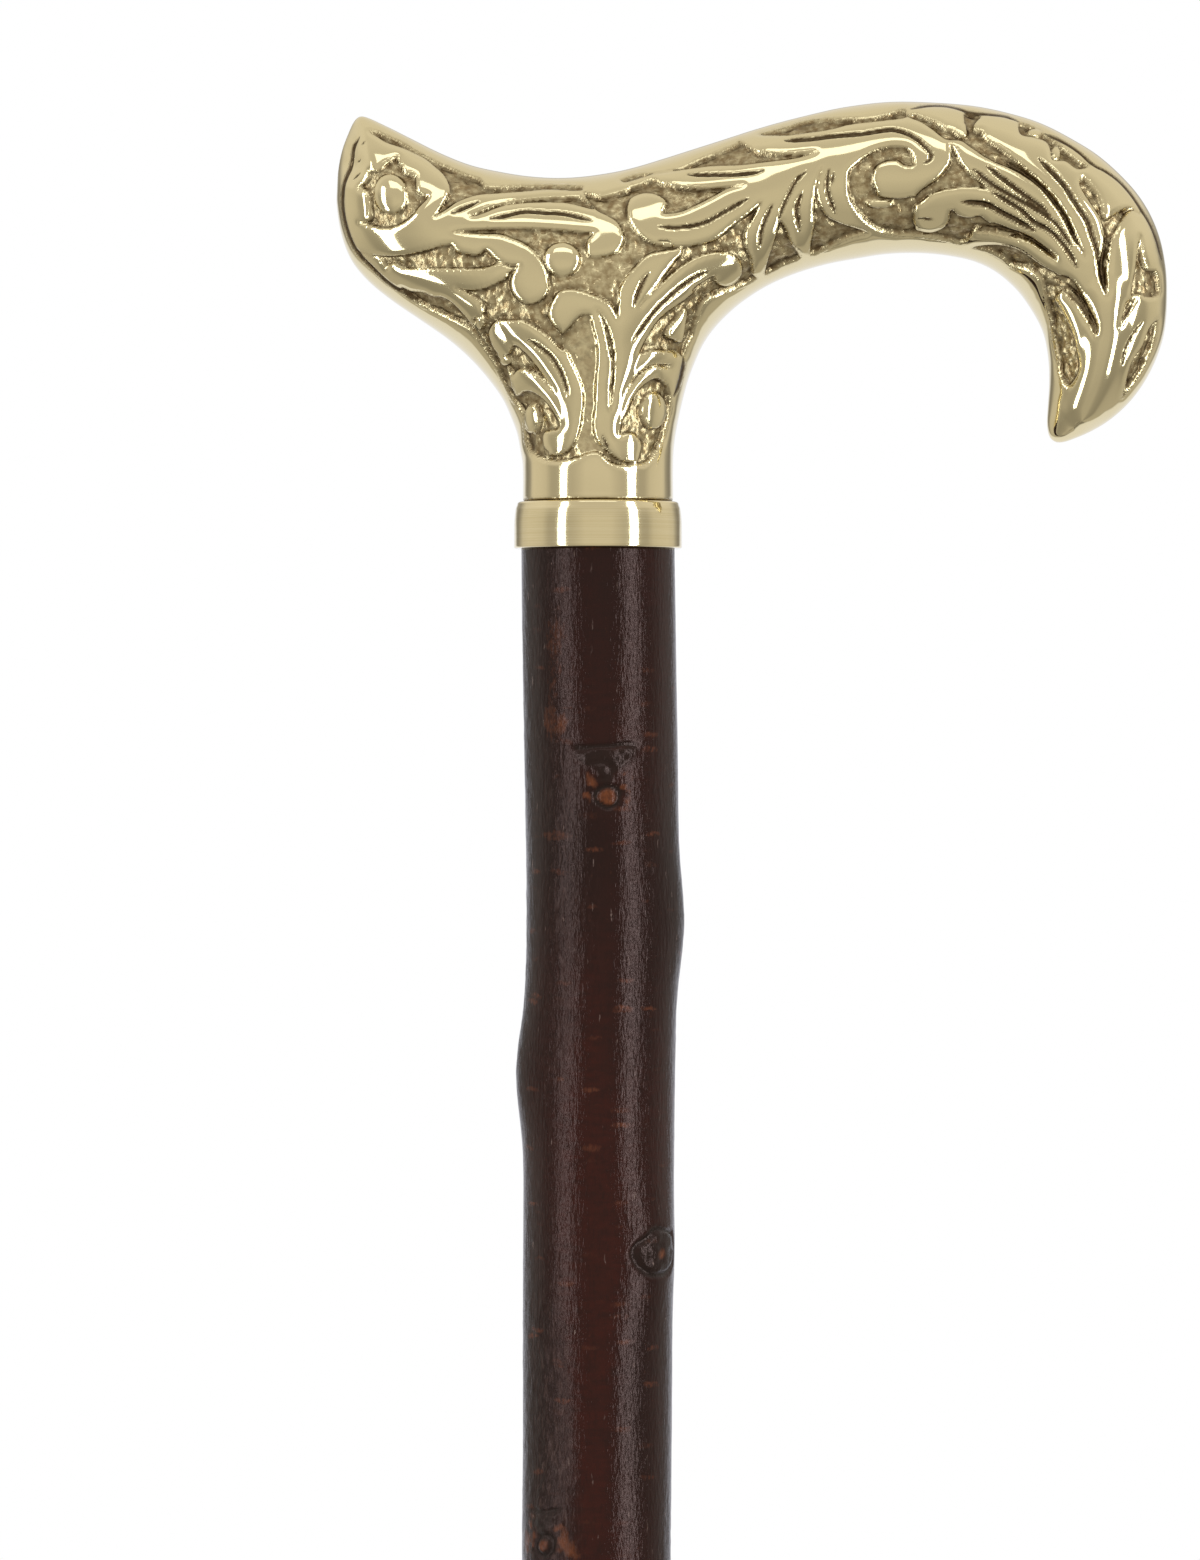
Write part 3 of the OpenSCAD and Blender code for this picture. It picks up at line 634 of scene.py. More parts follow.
# Sunk ground between the scrolls, each bed an outline in pixels of the photograph
ground_beds = {
    "ring on the back end": [
        (367, 170.5), (378, 168), (383, 163), (390, 158), (398, 154.5), (402, 163), (406, 170),
        (416.5, 174.5), (418, 189), (429, 195), (420, 206), (411, 217), (400, 225), (385, 229.5),
        (370, 227), (357, 222.5), (367, 219.5), (368.5, 210), (367.5, 200), (365, 191), (357, 187),
        (363, 181), (367, 176)],
    "strip along the top": [
        (369, 130), (376, 128.5), (390, 134), (406, 141.5), (420, 150), (440, 160.5), (451, 165),
        (468, 172), (480, 176), (488, 184), (514, 183), (582, 184), (582, 189), (549, 188), (524, 190),
        (498, 192), (477, 194), (458, 201), (445, 210), (433, 216), (445, 197), (449, 187), (445, 175),
        (436, 166), (425, 157), (404, 147), (386, 141), (377, 135.5)],
    "between the upper leaves": [
        (470, 215), (483, 208), (496, 203), (515, 199), (536, 196), (566, 194), (582, 194), (595, 208),
        (568, 202), (549, 201), (524, 202), (503, 205), (477, 215)],
    "middle of the back half": [
        (452, 231), (483, 227), (531, 226), (575, 229), (594, 232), (588, 241), (589, 253), (593, 255),
        (610, 253), (618, 248), (623, 238), (621, 230), (616, 221), (607, 215), (595, 208), (583, 190),
        (595, 192), (602, 194), (613, 191), (626, 187), (632, 182), (630, 198), (628, 206), (630, 218),
        (639, 231), (652, 241), (668, 245), (684, 245), (680, 249), (660, 252), (649, 255), (639, 264),
        (626, 280), (621, 291), (620, 303), (619, 319), (610, 305), (598, 298), (582, 292), (568, 290),
        (558, 294), (549, 313), (553, 324), (562, 332), (563, 352), (544, 336), (531, 327), (520, 322),
        (505, 322), (496, 323), (490, 329), (488, 334), (490, 343), (494, 351), (498, 356), (491, 356),
        (484, 345), (478, 336), (474, 330), (471, 321), (475, 317), (481, 315), (479, 305), (473, 299),
        (465, 294), (456, 288), (470, 290), (485, 287), (498, 281), (505, 277), (507, 272), (518, 266),
        (514, 273), (511, 281), (512, 290), (517, 298), (526, 303), (536, 301), (543, 296), (547, 287),
        (546, 276), (542, 264), (535, 253), (526, 245), (514, 239), (498, 234), (482, 234)],
    "over the nose side of the neck": [
        (660, 243), (684, 245), (702, 243), (717, 238), (735, 223), (751, 211), (762, 201), (754, 220),
        (748, 232), (748, 248), (753, 260), (755, 276), (758, 280), (741, 289), (722, 296), (711, 299),
        (697, 296), (693, 291), (703, 282), (716, 276), (718, 282), (726, 287), (735, 285), (742, 276),
        (742, 267), (735, 258), (722, 254), (709, 255), (694, 260), (677, 272), (661, 287), (645, 301),
        (640, 306), (656, 287), (665, 274), (675, 260), (682, 250)],
    "crescent on the back end": [
        (359, 252), (371, 255), (391, 256), (412, 253), (427, 249), (450, 243), (456, 250), (468, 253),
        (478, 253), (485, 248), (496, 258), (506, 263), (519, 264), (517, 268), (509, 268), (500, 264),
        (483, 269), (437, 270), (406, 271), (391, 266), (385, 270), (380, 261), (368, 256)],
    "rim under the back end": [
        (400, 288), (410, 292), (422, 293), (432, 297), (441, 297.5), (451, 303), (461, 313), (470, 324),
        (476, 332), (482, 340), (490, 352), (497, 357), (503, 366), (508, 376), (511, 388), (516, 398),
        (523, 406), (523, 420), (516, 408), (507, 395), (500, 381), (494, 368), (487, 357), (477.5, 343),
        (470, 332), (461, 327), (451, 322), (441, 317), (425.5, 310), (412, 301.6), (400, 292)],
    "middle of the neck": [
        (561, 333), (568, 327), (576, 318), (584, 313), (591, 315), (594, 327), (598, 342), (599, 361),
        (597, 383), (596, 408), (594, 425), (598, 440), (610, 450), (622, 459), (638, 463), (628, 467),
        (610, 463), (599, 454), (589, 454), (576, 459), (555, 462), (538, 458), (548, 454), (557, 454),
        (568, 448), (576, 435), (580, 419), (582, 397), (579, 382), (571, 365), (564, 351), (555, 342)],
    "left leaf of the neck": [
        (503, 356), (507, 354), (511, 346), (515, 346), (522, 351), (530, 359), (540, 372), (548, 383),
        (553, 391), (545, 385), (536, 377), (527, 373), (521, 372), (515, 373), (511, 377), (504, 371),
        (500, 363)],
    "left foot of the neck": [
        (512, 398), (517, 395), (522, 391.5), (528, 391), (535, 394), (542, 399), (551, 409), (559, 425),
        (557, 430), (545, 433), (542, 435), (543, 447), (548, 453), (538, 458), (525, 447), (522, 422),
        (518, 408)],
    "slot beside the stem": [
        (597, 309), (607, 322), (613, 337), (616, 354), (616, 371), (615, 389), (611, 410), (610, 389),
        (612, 366), (608, 345), (603, 324)],
    "crease over the right pearl": [
        (626, 394), (634, 379), (644, 369), (656, 364), (672, 365), (670, 368), (657, 368), (644, 374),
        (631, 388)],
    "right foot of the neck": [
        (621, 435), (622, 422), (628, 410), (636, 394), (647, 383), (658, 378), (667, 382), (672, 392),
        (673, 408), (670, 421), (666, 438), (657, 454), (647, 464), (638, 464), (640, 456), (642, 443),
        (633, 434)],
    "right of the stem": [
        (640, 356), (643.5, 345), (650, 333), (657.5, 322), (668, 312), (679, 304.5), (689, 298),
        (697, 292), (712, 297), (705, 304), (701.5, 313), (698, 325), (695, 336), (690, 346),
        (687.5, 354), (684, 358), (679, 354), (668, 353), (654, 352)],
    "over the long leaf": [
        (626, 187), (640, 181), (652, 176), (664, 181), (697, 186), (743, 184), (728, 188), (712, 197),
        (696, 205), (682, 211), (671, 213), (662, 212), (665, 201), (659, 195), (649, 192), (639, 193),
        (630, 198), (628, 206)],
    "top of the saddle": [
        (620, 178), (637, 172), (652, 171), (671, 168), (684, 164), (696, 158), (735, 142), (739, 139),
        (749, 144), (758, 149), (786, 152), (816, 151), (799, 157), (767, 161), (741, 164), (709, 165),
        (671, 170), (652, 173), (625, 181)],
    "top of the nose half": [
        (758, 133), (786, 125), (805, 119), (831, 116), (869, 115), (890, 110), (905, 107), (908, 115),
        (886, 119), (851, 123), (831, 128), (805, 132), (786, 134)],
    "channel over the fan": [
        (908, 115), (914, 111), (922.5, 113.5), (932, 117), (940.7, 121.7), (944.5, 125.5), (954, 129),
        (961, 134), (966, 133), (965.6, 124.5), (963.7, 119), (964.5, 110), (975, 111), (982, 114.5),
        (978, 119), (975, 124), (979, 129), (982, 128.4), (985.7, 135), (991.4, 140), (1004, 148.5),
        (1012.5, 155), (1024, 164), (1040, 177), (1053, 191), (1066, 209), (1075, 228), (1086, 257),
        (1070, 233), (1061, 215), (1040, 188), (1024, 176), (1009.6, 168), (995, 162), (981, 154),
        (968.5, 145), (961, 140), (947.4, 139), (941.7, 136), (933, 129), (921.6, 121)],
    "top of the nose": [
        (1019, 121), (1030, 123), (1045, 131), (1060, 142), (1078, 157), (1090, 165), (1078, 168),
        (1066, 160), (1053, 159), (1050, 146), (1046, 140), (1034, 136), (1021, 133)],
    "first leaf under the scroll": [
        (780, 220), (787, 229), (792, 243), (801, 258), (798, 262), (783, 268), (766, 276), (768, 263),
        (772, 249), (777, 232)],
    "second leaf under the scroll": [
        (822, 167), (818, 187), (819, 197), (823, 209), (830, 218), (841, 224), (867, 234), (851, 239),
        (834, 247), (812, 257), (811, 243), (814, 224), (813, 210), (814, 192), (817, 179)],
    "inside the scroll": [
        (915, 165), (914, 154), (908, 146), (899, 144), (886, 145), (872, 150), (859, 159), (849, 169),
        (847, 182), (849, 198), (856, 211), (867, 224), (879, 233), (892, 236), (908, 237), (917, 232),
        (915, 224), (917, 207), (924, 201), (915, 196), (903, 198), (892, 198), (881, 196), (876, 187),
        (874, 177), (878, 166), (888, 161), (897, 161), (905, 166)],
    "wedge behind the scroll": [
        (915, 196), (924, 187), (936, 178), (944, 169), (950, 159), (950, 142), (957, 150), (961, 159),
        (971, 172), (982, 181), (992, 191), (980, 189), (965, 188), (946, 191), (933, 195), (917, 207)],
    "under the lower leaf": [
        (892, 236), (908, 230), (930, 234), (943, 229), (947, 223), (951, 209), (959, 216), (969, 218),
        (980, 216), (989, 223), (1000, 227), (989, 228), (975, 232), (971, 238), (961, 246), (946, 242),
        (927, 239), (908, 237)],
    "channel under the fan": [
        (989, 223), (1011, 229), (1028, 235), (1040, 243), (1056, 257), (1056, 262), (1040, 252),
        (1028, 244), (1008, 239), (989, 235), (975, 234)],
    "inner bend": [
        (971, 249), (989, 246), (1006, 247), (1021, 252), (1040, 265), (1062, 277), (1070, 284),
        (1062, 292), (1054, 300), (1050, 318), (1042, 294), (1039, 280), (1029, 272), (1010, 268),
        (1002, 261), (989, 254)],
    "inner side of the nose": [
        (1043, 291), (1054, 301), (1066, 321), (1072, 334), (1076, 349), (1079, 369), (1072, 383),
        (1066, 387), (1058, 378), (1055, 361), (1051, 341), (1049, 323), (1045, 307)],
    "sliver on the nose": [
        (1058, 276), (1069, 277), (1080, 290), (1090, 308), (1098, 324), (1098, 333), (1095, 337),
        (1086, 322), (1075, 306), (1062, 294)],
    "fork on the nose": [
        (1080, 184), (1083, 175), (1099, 193), (1104, 208), (1107, 217), (1112, 214), (1122, 208),
        (1132, 206), (1141, 213), (1133, 210), (1124, 221), (1118, 230), (1114, 239), (1111, 254),
        (1109, 271), (1107, 296), (1100, 283), (1098, 268), (1101, 256), (1106, 240), (1104, 230),
        (1100, 217), (1091, 203)],
    "outer side of the nose": [
        (1140.6, 236), (1143, 250), (1146, 262), (1150, 268), (1159, 270.6), (1162, 283), (1161, 295),
        (1150, 298), (1140, 295), (1132, 297), (1133, 283), (1136, 268), (1138, 252)],
    "wedge on the nose": [
        (1137, 300), (1131, 305), (1126, 313), (1120, 327), (1123, 312), (1128, 300)],
    "outer side of the tip": [
        (1159, 320), (1150, 329), (1144, 345), (1135, 358), (1129, 373), (1126, 388), (1123, 399),
        (1134, 386), (1143, 373), (1150, 358), (1157, 341)],
}
# Polished pearls that stand in the ground: centre and half sizes in pixels
pearls = [
    (389.5, 193, 16, 19.2), (562, 258.5, 17, 16), (529.5, 420, 7, 13), (656, 411, 12, 17),
    (880, 205, 12, 3), (478.5, 323, 3, 7), (503, 362, 3.8, 4), (1036, 130.5, 7, 3), (1057, 151, 3.5, 6),
]
# A small leaf that stands in the ground right of the stem
small_leaf = [
    (686, 311), (682, 316), (675, 324), (669, 332), (669.5, 337), (675, 339), (682.5, 342.5), (685, 335),
    (686.5, 325), (688, 313),
]
# Raised middles of leaves that are bent like a roof: rise in millimetres, reach in pixels, line
crests = [
    (0.6, 25, [(1109, 296), (1108, 314), (1106, 335), (1103, 356), (1096, 380), (1086, 409)]),
]
# Broad slopes of leaves towards the ground beside them: fall in millimetres, reach in pixels, foot
flanks = [
    (0.15, 8, [(497, 324), (503, 334), (510, 343), (522, 351), (530, 359), (540, 372), (548, 383),
        (556, 396), (561, 410), (562, 425)]),
    (0.25, 10, [(697, 292), (679, 304.5), (657.5, 322), (643.5, 345), (638, 362), (632, 380), (627, 394),
        (622, 412), (620, 432)]),
    (0.13, 7, [(658, 378), (647, 383), (636, 394), (628, 410), (622, 422)]),
]
# The back corner is bevelled to the left of this line, as a slope in millimetres for each pixel
bevel_line = [(362, 116), (365, 135), (368, 150), (371, 168)]
bevel_slope, bevel_px, bevel_foot_px = 0.05, 24.0, (160.0, 190.0)
# Ground that hands have rubbed cleaner: centre and half sizes in pixels, and the share of patina gone.
# The grime and painted shade there are thinned too.
rubbed_ground = [(587, 395, 24, 75, 0.4), (603, 268, 30, 26, 0.15)]
# Creases and veins cut in the leaves: width in pixels, then the line
creases = [
    (3, [(452, 213), (479, 201)]),
    (3, [(491, 218), (503, 216), (524, 211), (544, 212), (562, 213), (577, 216), (591, 220)]),
    (3, [(527, 339), (539, 347), (551, 357), (560, 371), (565, 384), (568, 396)]),
    (3, [(602, 435), (609, 449)]),
    (4, [(649, 273), (643, 282), (637, 296), (634, 306)]),
    (3, [(658, 308), (675, 292), (691, 280), (709, 271)]),
    (3, [(668, 297), (652, 315), (641, 330), (633, 341)]),
    (3, [(685, 357), (683.5, 370), (679, 387), (675, 396)]),
    (3.5, [(659, 226), (680, 227), (703, 223), (722, 213), (748, 198)]),
    (2, [(657, 239), (672, 241)]),
    (3, [(688, 174), (709, 174), (735, 174), (755, 172), (763, 170)]),
    (3.5, [(785, 140), (812, 138), (837, 135), (862, 133), (890, 129), (902, 131), (915, 137), (924, 145),
        (931, 154), (929, 160), (924, 163)]),
    (3, [(773, 204), (767, 216), (762, 231), (760, 248)]),
    (3, [(806, 171), (797, 179), (790, 192), (783, 207), (779, 220)]),
    (4.5, [(802, 192), (797, 209), (799, 225), (800, 231)]),
    (4, [(829, 169), (827, 185), (829, 197), (836, 214)]),
    (3, [(834, 172), (832, 184)]),
    (4.5, [(974, 169), (992, 184), (1010, 195), (1028, 205), (1043, 214), (1056, 224), (1064, 235),
        (1072, 246)]),
    (5, [(987, 166), (997, 174), (1010, 184), (1027, 197), (1041, 207), (1050, 215)]),
    (5, [(992, 192), (1008, 202), (1022, 211), (1035, 223), (1047, 229), (1059, 240), (1068, 252),
        (1077, 267)]),
    (5.5, [(962, 202), (975, 203), (988, 205), (1002, 213), (1019, 222), (1035, 231)]),
    (4.5, [(1039, 158), (1054, 173), (1066, 187), (1077, 205), (1087, 220), (1093, 238), (1098, 254),
        (1099, 268)]),
    (3, [(1003, 157), (1018, 166), (1033, 177), (1047, 190.5), (1059, 207), (1069, 226), (1077, 244)]),
    (3, [(985, 229.5), (1003, 231.5), (1019, 236), (1034, 243.5), (1046, 252), (1054, 258.5)]),
    (3, [(1064, 284), (1075, 295), (1085, 308), (1093, 322), (1097, 332)]),
    (2, [(918, 219), (933, 220)]),
    (1.5, [(1143, 322), (1134, 334), (1126, 349), (1122, 365)]),
    (2.5, [(1135, 302), (1128, 312), (1122, 324)]),
    (4, [(1107, 226), (1106, 245), (1103.5, 262), (1104, 280), (1106, 293)]),
    (1.5, [(1046, 132), (1063, 140.5), (1079, 151), (1095, 164.5), (1106, 170.4), (1119, 180), (1131, 193),
        (1142, 209), (1152, 226), (1158.6, 244), (1162.6, 261)]),
    (1.5, [(911, 108), (928, 105), (947, 105.4), (965, 109.5), (985, 113), (1005, 115.5), (1019, 120.5)]),
    (2.5, [(1141.5, 281), (1142, 288)]),
    (2.5, [(1150, 281), (1150, 288)]),
    (2.5, [(353, 141), (349, 147)]),
    (2, [(361, 142.5), (365, 141)]),
    (2.5, [(352, 178), (357, 173)]),
    (2, [(354, 160), (358, 158.5)]),
    (2.5, [(357, 136), (350, 144), (347, 155), (344, 172), (342, 190), (341.5, 206), (345, 226), (352, 245),
        (360, 257), (370, 267), (380, 277), (390, 285.5), (400, 292), (410, 299), (420, 305)]),
]
bed_depth, wall_px = 0.85, 2.2
edge_dip, edge_reach_px, edge_bend = 0.19, 4.0, 1.6
edge_snap_px = 0.85
crease_dip, crease_reach_px, crease_run_px = 0.03, 3.0, 14.0
crease_end_share, crease_widen_px, crease_steep = 0.3, 1.0, 0.12
crown_dip, crown_reach_px = 0.14, 22.0
bevel_passes, flank_passes, crown_passes = 2, 1, 16
pearl_rise, flank_bend = 0.016, 1.15
# The relief gets lower where the casting turns away from the side that it is drawn on
facing_gain, turned_relief, turned_bed = 1.5, 0.3, 0.4
stipple_high, stipple_mm, stipple_fine_mm, stipple_fine, stipple_from = 0.22, 1.6, 0.8, 0.6, 0.05
# Patina from the edge of a bed on and from this depth of a cut, and grime with painted shade that is
# thick along the walls of a bed, in its dips and in the cuts, and thins out over the middle
patina_start_px, patina_run_px, patina_cut = 0.3, 1.1, 0.1
grime_px, grime_most, grime_even, grime_in_dips, grime_rubbed = 4.0, 0.9, 0.75, 0.5, 0.95
grime_cut, grime_cut_start, grime_cut_most = 0.12, 0.1, 0.88
rub_out, rub_steep = 1.2, 2.0
foot_bevel, foot_high, foot_grime, seam_steep = 0.35, 0.35, 0.6, 3.0
centre_x = (centre_px[0] - axis_px) * px_mm
centre_z = top_z - (centre_px[1] - top_px) * px_mm


def on_photo(points):
    """Where the camera sees points, in pixels of the photograph, and how much nearer makes them larger."""
    nearer = camera_distance / (camera_distance - np.abs(points[:, 1]))
    right = centre_px[0] + (points[:, 0] - centre_x) * nearer / px_mm
    down = centre_px[1] - (points[:, 2] - centre_z) * nearer / px_mm
    return np.stack([right, down], -1), nearer[:, None]


spots, nearer = on_photo(points)


def near(line, margin):
    """The spots within a margin of a line's box."""
    return np.nonzero(((spots > line.min(0) - margin) & (spots < line.max(0) + margin)).all(1))[0]


def to_line(corners, closed, margin):
    """The spots near a smooth line through corners, their distance to it and the way from it."""
    line = drawn(corners, closed)
    here = near(line, margin)
    return here, *distance_to(spots[here], line, closed)


def dip(distance, depth, reach, bend=2.0):
    """Fall towards a line, to a depth and from a reach, straight for a bend of 1 and hollow above."""
    return depth * np.clip(1 - distance / reach, 0, 1) ** bend


far_px = 32.0
to_bed = np.full(len(spots), far_px)
from_edge = np.zeros_like(spots)


def join(here, distance, way, joined):
    """Takes the distance and the way at the spots where a bed or what stands in it joins in."""
    to_bed[here[joined]] = distance[joined]
    from_edge[here[joined]] = way[joined]


for corners in ground_beds.values():
    here, distance, way = to_line(corners, True, far_px)
    join(here, distance, way, distance < to_bed[here])
here, distance, way = to_line(small_leaf, True, far_px)
join(here, -distance, way, -distance > to_bed[here])
crest = np.zeros(len(spots))
for pearl_x, pearl_y, half_x, half_y in pearls:
    here = near(np.array([(pearl_x - half_x, pearl_y - half_y), (pearl_x + half_x, pearl_y + half_y)]), 1)
    out = spots[here] - [pearl_x, pearl_y]
    ring = np.maximum(np.hypot(out[:, 0] / half_x, out[:, 1] / half_y), 0.01)
    distance = (1 - ring) * min(half_x, half_y)
    join(here, distance, out * (1 - 1 / ring)[:, None], distance > to_bed[here])
    rise = pearl_rise * min(half_x, half_y) * np.clip(1 - ring**2, 0, 1)
    crest[here] = np.maximum(crest[here], rise)
# Points of the skin that lie close to an edge are moved onto it, which keeps the edge clean
at_edge = np.abs(to_bed) < edge_snap_px
move = -from_edge[at_edge] * px_mm / nearer[at_edge]
points[at_edge, 0] += move[:, 0]
points[at_edge, 2] -= move[:, 1]
points, away = onto_casting(points)
spots, nearer = on_photo(points)
to_bed[at_edge] = 0
to_crease = np.full(len(spots), far_px)
facing = np.clip(facing_gain * np.abs(away[:, 1]), 0, 1)
cut = np.zeros(len(spots))
for width, corners in creases:
    here, off, way = to_line(corners, False, far_px)
    # Each cut runs out at both ends
    to_end = np.minimum(*(np.linalg.norm(spots[here] - end, axis=1) for end in (corners[0], corners[-1])))
    half = (width / 2 + crease_widen_px) * np.clip(crease_end_share + to_end / crease_run_px, 0, 1)
    cut[here] = np.maximum(cut[here], crease_steep * (half + 1) * np.clip(1 - off / half, 0, 1))
    to_crease[here] = np.minimum(to_crease[here], np.maximum(off - half, 0))
cut *= facing
for rise, reach_px, corners in crests:
    here, off, way = to_line(corners, False, reach_px)
    crest[here] = np.maximum(crest[here], rise * (1 - np.clip(off / reach_px, 0, 1) ** 2) ** 2)
flank = np.zeros(len(spots))
for fall, reach_px, corners in flanks:
    here, off, way = to_line(corners, False, reach_px)
    flank[here] = np.maximum(flank[here], dip(off, fall, reach_px, flank_bend))
bevel_x, bevel_y = np.array(bevel_line).T
corner_off = np.clip(np.interp(spots[:, 1], bevel_y, bevel_x) - spots[:, 0], 0, bevel_px)
corner_share = ease((bevel_foot_px[1] - spots[:, 1]) / (bevel_foot_px[1] - bevel_foot_px[0]))
corner = bevel_slope * corner_off * corner_share * facing
sink = ease(-to_bed / wall_px)
to_bed_out = np.maximum(to_bed, 0)
bevel = dip(to_bed_out, edge_dip, edge_reach_px, edge_bend) + dip(to_crease, crease_dip, crease_reach_px)
slopes = (smoothed(bevel, bevel_passes) + smoothed(flank, flank_passes)) * (1 - sink)
crown = smoothed(dip(np.minimum(to_bed_out, to_crease), crown_dip, crown_reach_px), crown_passes)
sunk = np.nonzero(sink > stipple_from)[0]
stipple = np.zeros(len(points))
stipple[sunk] = lumps(points[sunk], stipple_mm) + stipple_fine * lumps(points[sunk], stipple_fine_mm)
height = crest * facing - corner - (crown + slopes) * (turned_relief + (1 - turned_relief) * facing)
height = height - sink * bed_depth * (turned_bed + (1 - turned_bed) * facing) - cut
height = height + sink * stipple_high * stipple
patina = np.clip((patina_start_px - to_bed) / patina_run_px, 0, 1)
from_wall = np.maximum(-to_bed - wall_px, 0)
grime = grime_most * sink * np.exp(-from_wall / grime_px) * (grime_even - grime_in_dips * stipple)
for rub_x, rub_y, half_x, half_y, gone in rubbed_ground:
    from_rub = np.hypot((spots[:, 0] - rub_x) / half_x, (spots[:, 1] - rub_y) / half_y)
    rub = ease(rub_steep * (rub_out - from_rub))
    grime = grime * (1 - grime_rubbed * rub)
    patina = patina * (1 - gone * rub)
patina = np.maximum(patina, np.clip(cut / patina_cut, 0, 1))
grime = np.maximum(grime, np.clip(cut / grime_cut - grime_cut_start, 0, grime_cut_most))
# The foot of the neck is bevelled, and a dark line of patina and painted shade is laid along it over the
# collar
at_foot = np.clip(1 - (points[:, 2] - seat_z) / foot_high, 0, 1)
in_seam = ease(seam_steep * at_foot)
patina, grime = np.maximum(patina, in_seam), np.maximum(grime, foot_grime * in_seam)
relief = points + away * height[:, None] * (1 - at_foot)[:, None]
relief[:, :2] *= (1 - foot_bevel / neck_r * at_foot)[:, None]
# The bored neck closes the casting from below
once, times = np.unique(np.sort(edges, 1), axis=0, return_counts=True)
open_pairs = {tuple(e) for e in once[times == 1]}
rim = np.array([e for e in edges.tolist() if tuple(sorted(e)) in open_pairs])
ring_ids = np.unique(rim)
ring_at = np.full(len(points), -1)
ring_at[ring_ids] = np.arange(len(ring_ids))
outward = points[ring_ids, :2] / np.linalg.norm(points[ring_ids, :2], axis=1)[:, None]
bore_low = np.concatenate([outward * bore_r, np.full((len(ring_ids), 1), seat_z)], 1)
bore_high = bore_low + [0, 0, bore_depth]
first = len(points)
a, b = rim[:, 0], rim[:, 1]
la, lb = first + ring_at[a], first + ring_at[b]
ha, hb = la + len(ring_ids), lb + len(ring_ids)
handle_points = np.concatenate([relief, bore_low, bore_high, [[0, 0, seat_z + bore_depth]]])
handle_faces = quads.tolist()
bore_end = np.full(len(ha), len(handle_points) - 1)
for face in ([b, a, la, lb], [lb, la, ha, hb], [hb, ha, bore_end]):
    handle_faces += np.stack(face, -1).tolist()
bare = np.zeros(len(handle_points) - len(points))

# Cast brass: a soft mirror on the polished scrolls, and a brown, rough patina in the ground, with
# painted shade along its walls and in the cuts, and pale speckles that are partly painted glints.
cast_brass, tree = new_material("cast brass")
place = add_node(tree, "TexCoord").outputs["Object"]
patina_share = add_node(tree, "Attribute", attribute_name="patina").outputs["Fac"]
grime_share = add_node(tree, "Attribute", attribute_name="grime").outputs["Fac"]
speckle_mm, grit_high_mm = 0.9, 0.2
speckle = add_node(tree, "TexNoise", {"Vector": place, "Scale": 1 / (speckle_mm * MM), "Detail": 2.0})
speckle_share = add_node(tree, "MapRange", {0: speckle, 1: 0.35, 2: 0.7})
# The polished tone is a little darker over the scrolls than on the plain neck below them
relief_low_z, relief_high_z = 859.0, 867.0
place_z = add_node(tree, "SeparateXYZ", {0: place}).outputs["Z"]
on_relief = add_node(tree, "MapRange", {0: place_z, 1: relief_low_z * MM, 2: relief_high_z * MM})
polished = add_node(tree, "Mix", {
    0: on_relief, 6: linear("#E6D7AD"), 7: linear("#DFD1A7"),
}, data_type="RGBA")
# The ground's pale speckles are partly painted glints and partly the stipple's own uneven tone
ground = add_node(tree, "Mix", {
    0: speckle_share, 6: linear("#98835F"), 7: linear("#CFC097"),
}, data_type="RGBA")
# The dark tone is grime and painted shade, laid along the walls, in the dips and in the cuts
grimed = add_node(tree, "Mix", {0: grime_share, 6: ground, 7: linear("#43321F")}, data_type="RGBA")
grit = add_node(tree, "Math", {0: speckle, 1: patina_share}, operation="MULTIPLY")
shader = add_node(tree, "BsdfPrincipled", {
    "Base Color": add_node(tree, "Mix", {0: patina_share, 6: polished, 7: grimed}, data_type="RGBA"),
    "Roughness": add_node(tree, "MapRange", {0: patina_share, 3: 0.08, 4: 0.32}),
    "Normal": add_node(tree, "Bump", {"Height": grit, "Strength": 1.0, "Distance": grit_high_mm * MM}),
    "Metallic": 1.0,
})
add_node(tree, "OutputMaterial", {"Surface": shader})
new_piece(
    "cast_handle", handle_points, handle_faces, cast_brass, "stick", "cast_brass", "handle",
    patina=np.concatenate([patina, bare]), grime=np.concatenate([grime, bare]),
)

# Fixing inside the neck: a beech plug glued into the bore, with a steel insert for the stud. None
# of it shows once the stick is together.
# Turned beech is pale with fine darker flecks along its length.
beech = lumped("turned beech", (0.8, 0.8, 7), ("#A67848", "#C39664"), (0.52, 0.66))
# Zinc plate is a dull mirror, clouded where it was handled.
zinc = lumped("zinc plated steel", (1.5, 1.5, 1.5), ("#ABB0B4", "#CDD0D2"), (0.38, 0.26), metallic=1.0)


def dress(node, material):
    """Gives a CAD node its material."""
    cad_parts[node].data.materials.clear()
    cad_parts[node].data.materials.append(material)


dress("neck_plug", beech)
dress("threaded_insert", zinc)
dress("stud", zinc)

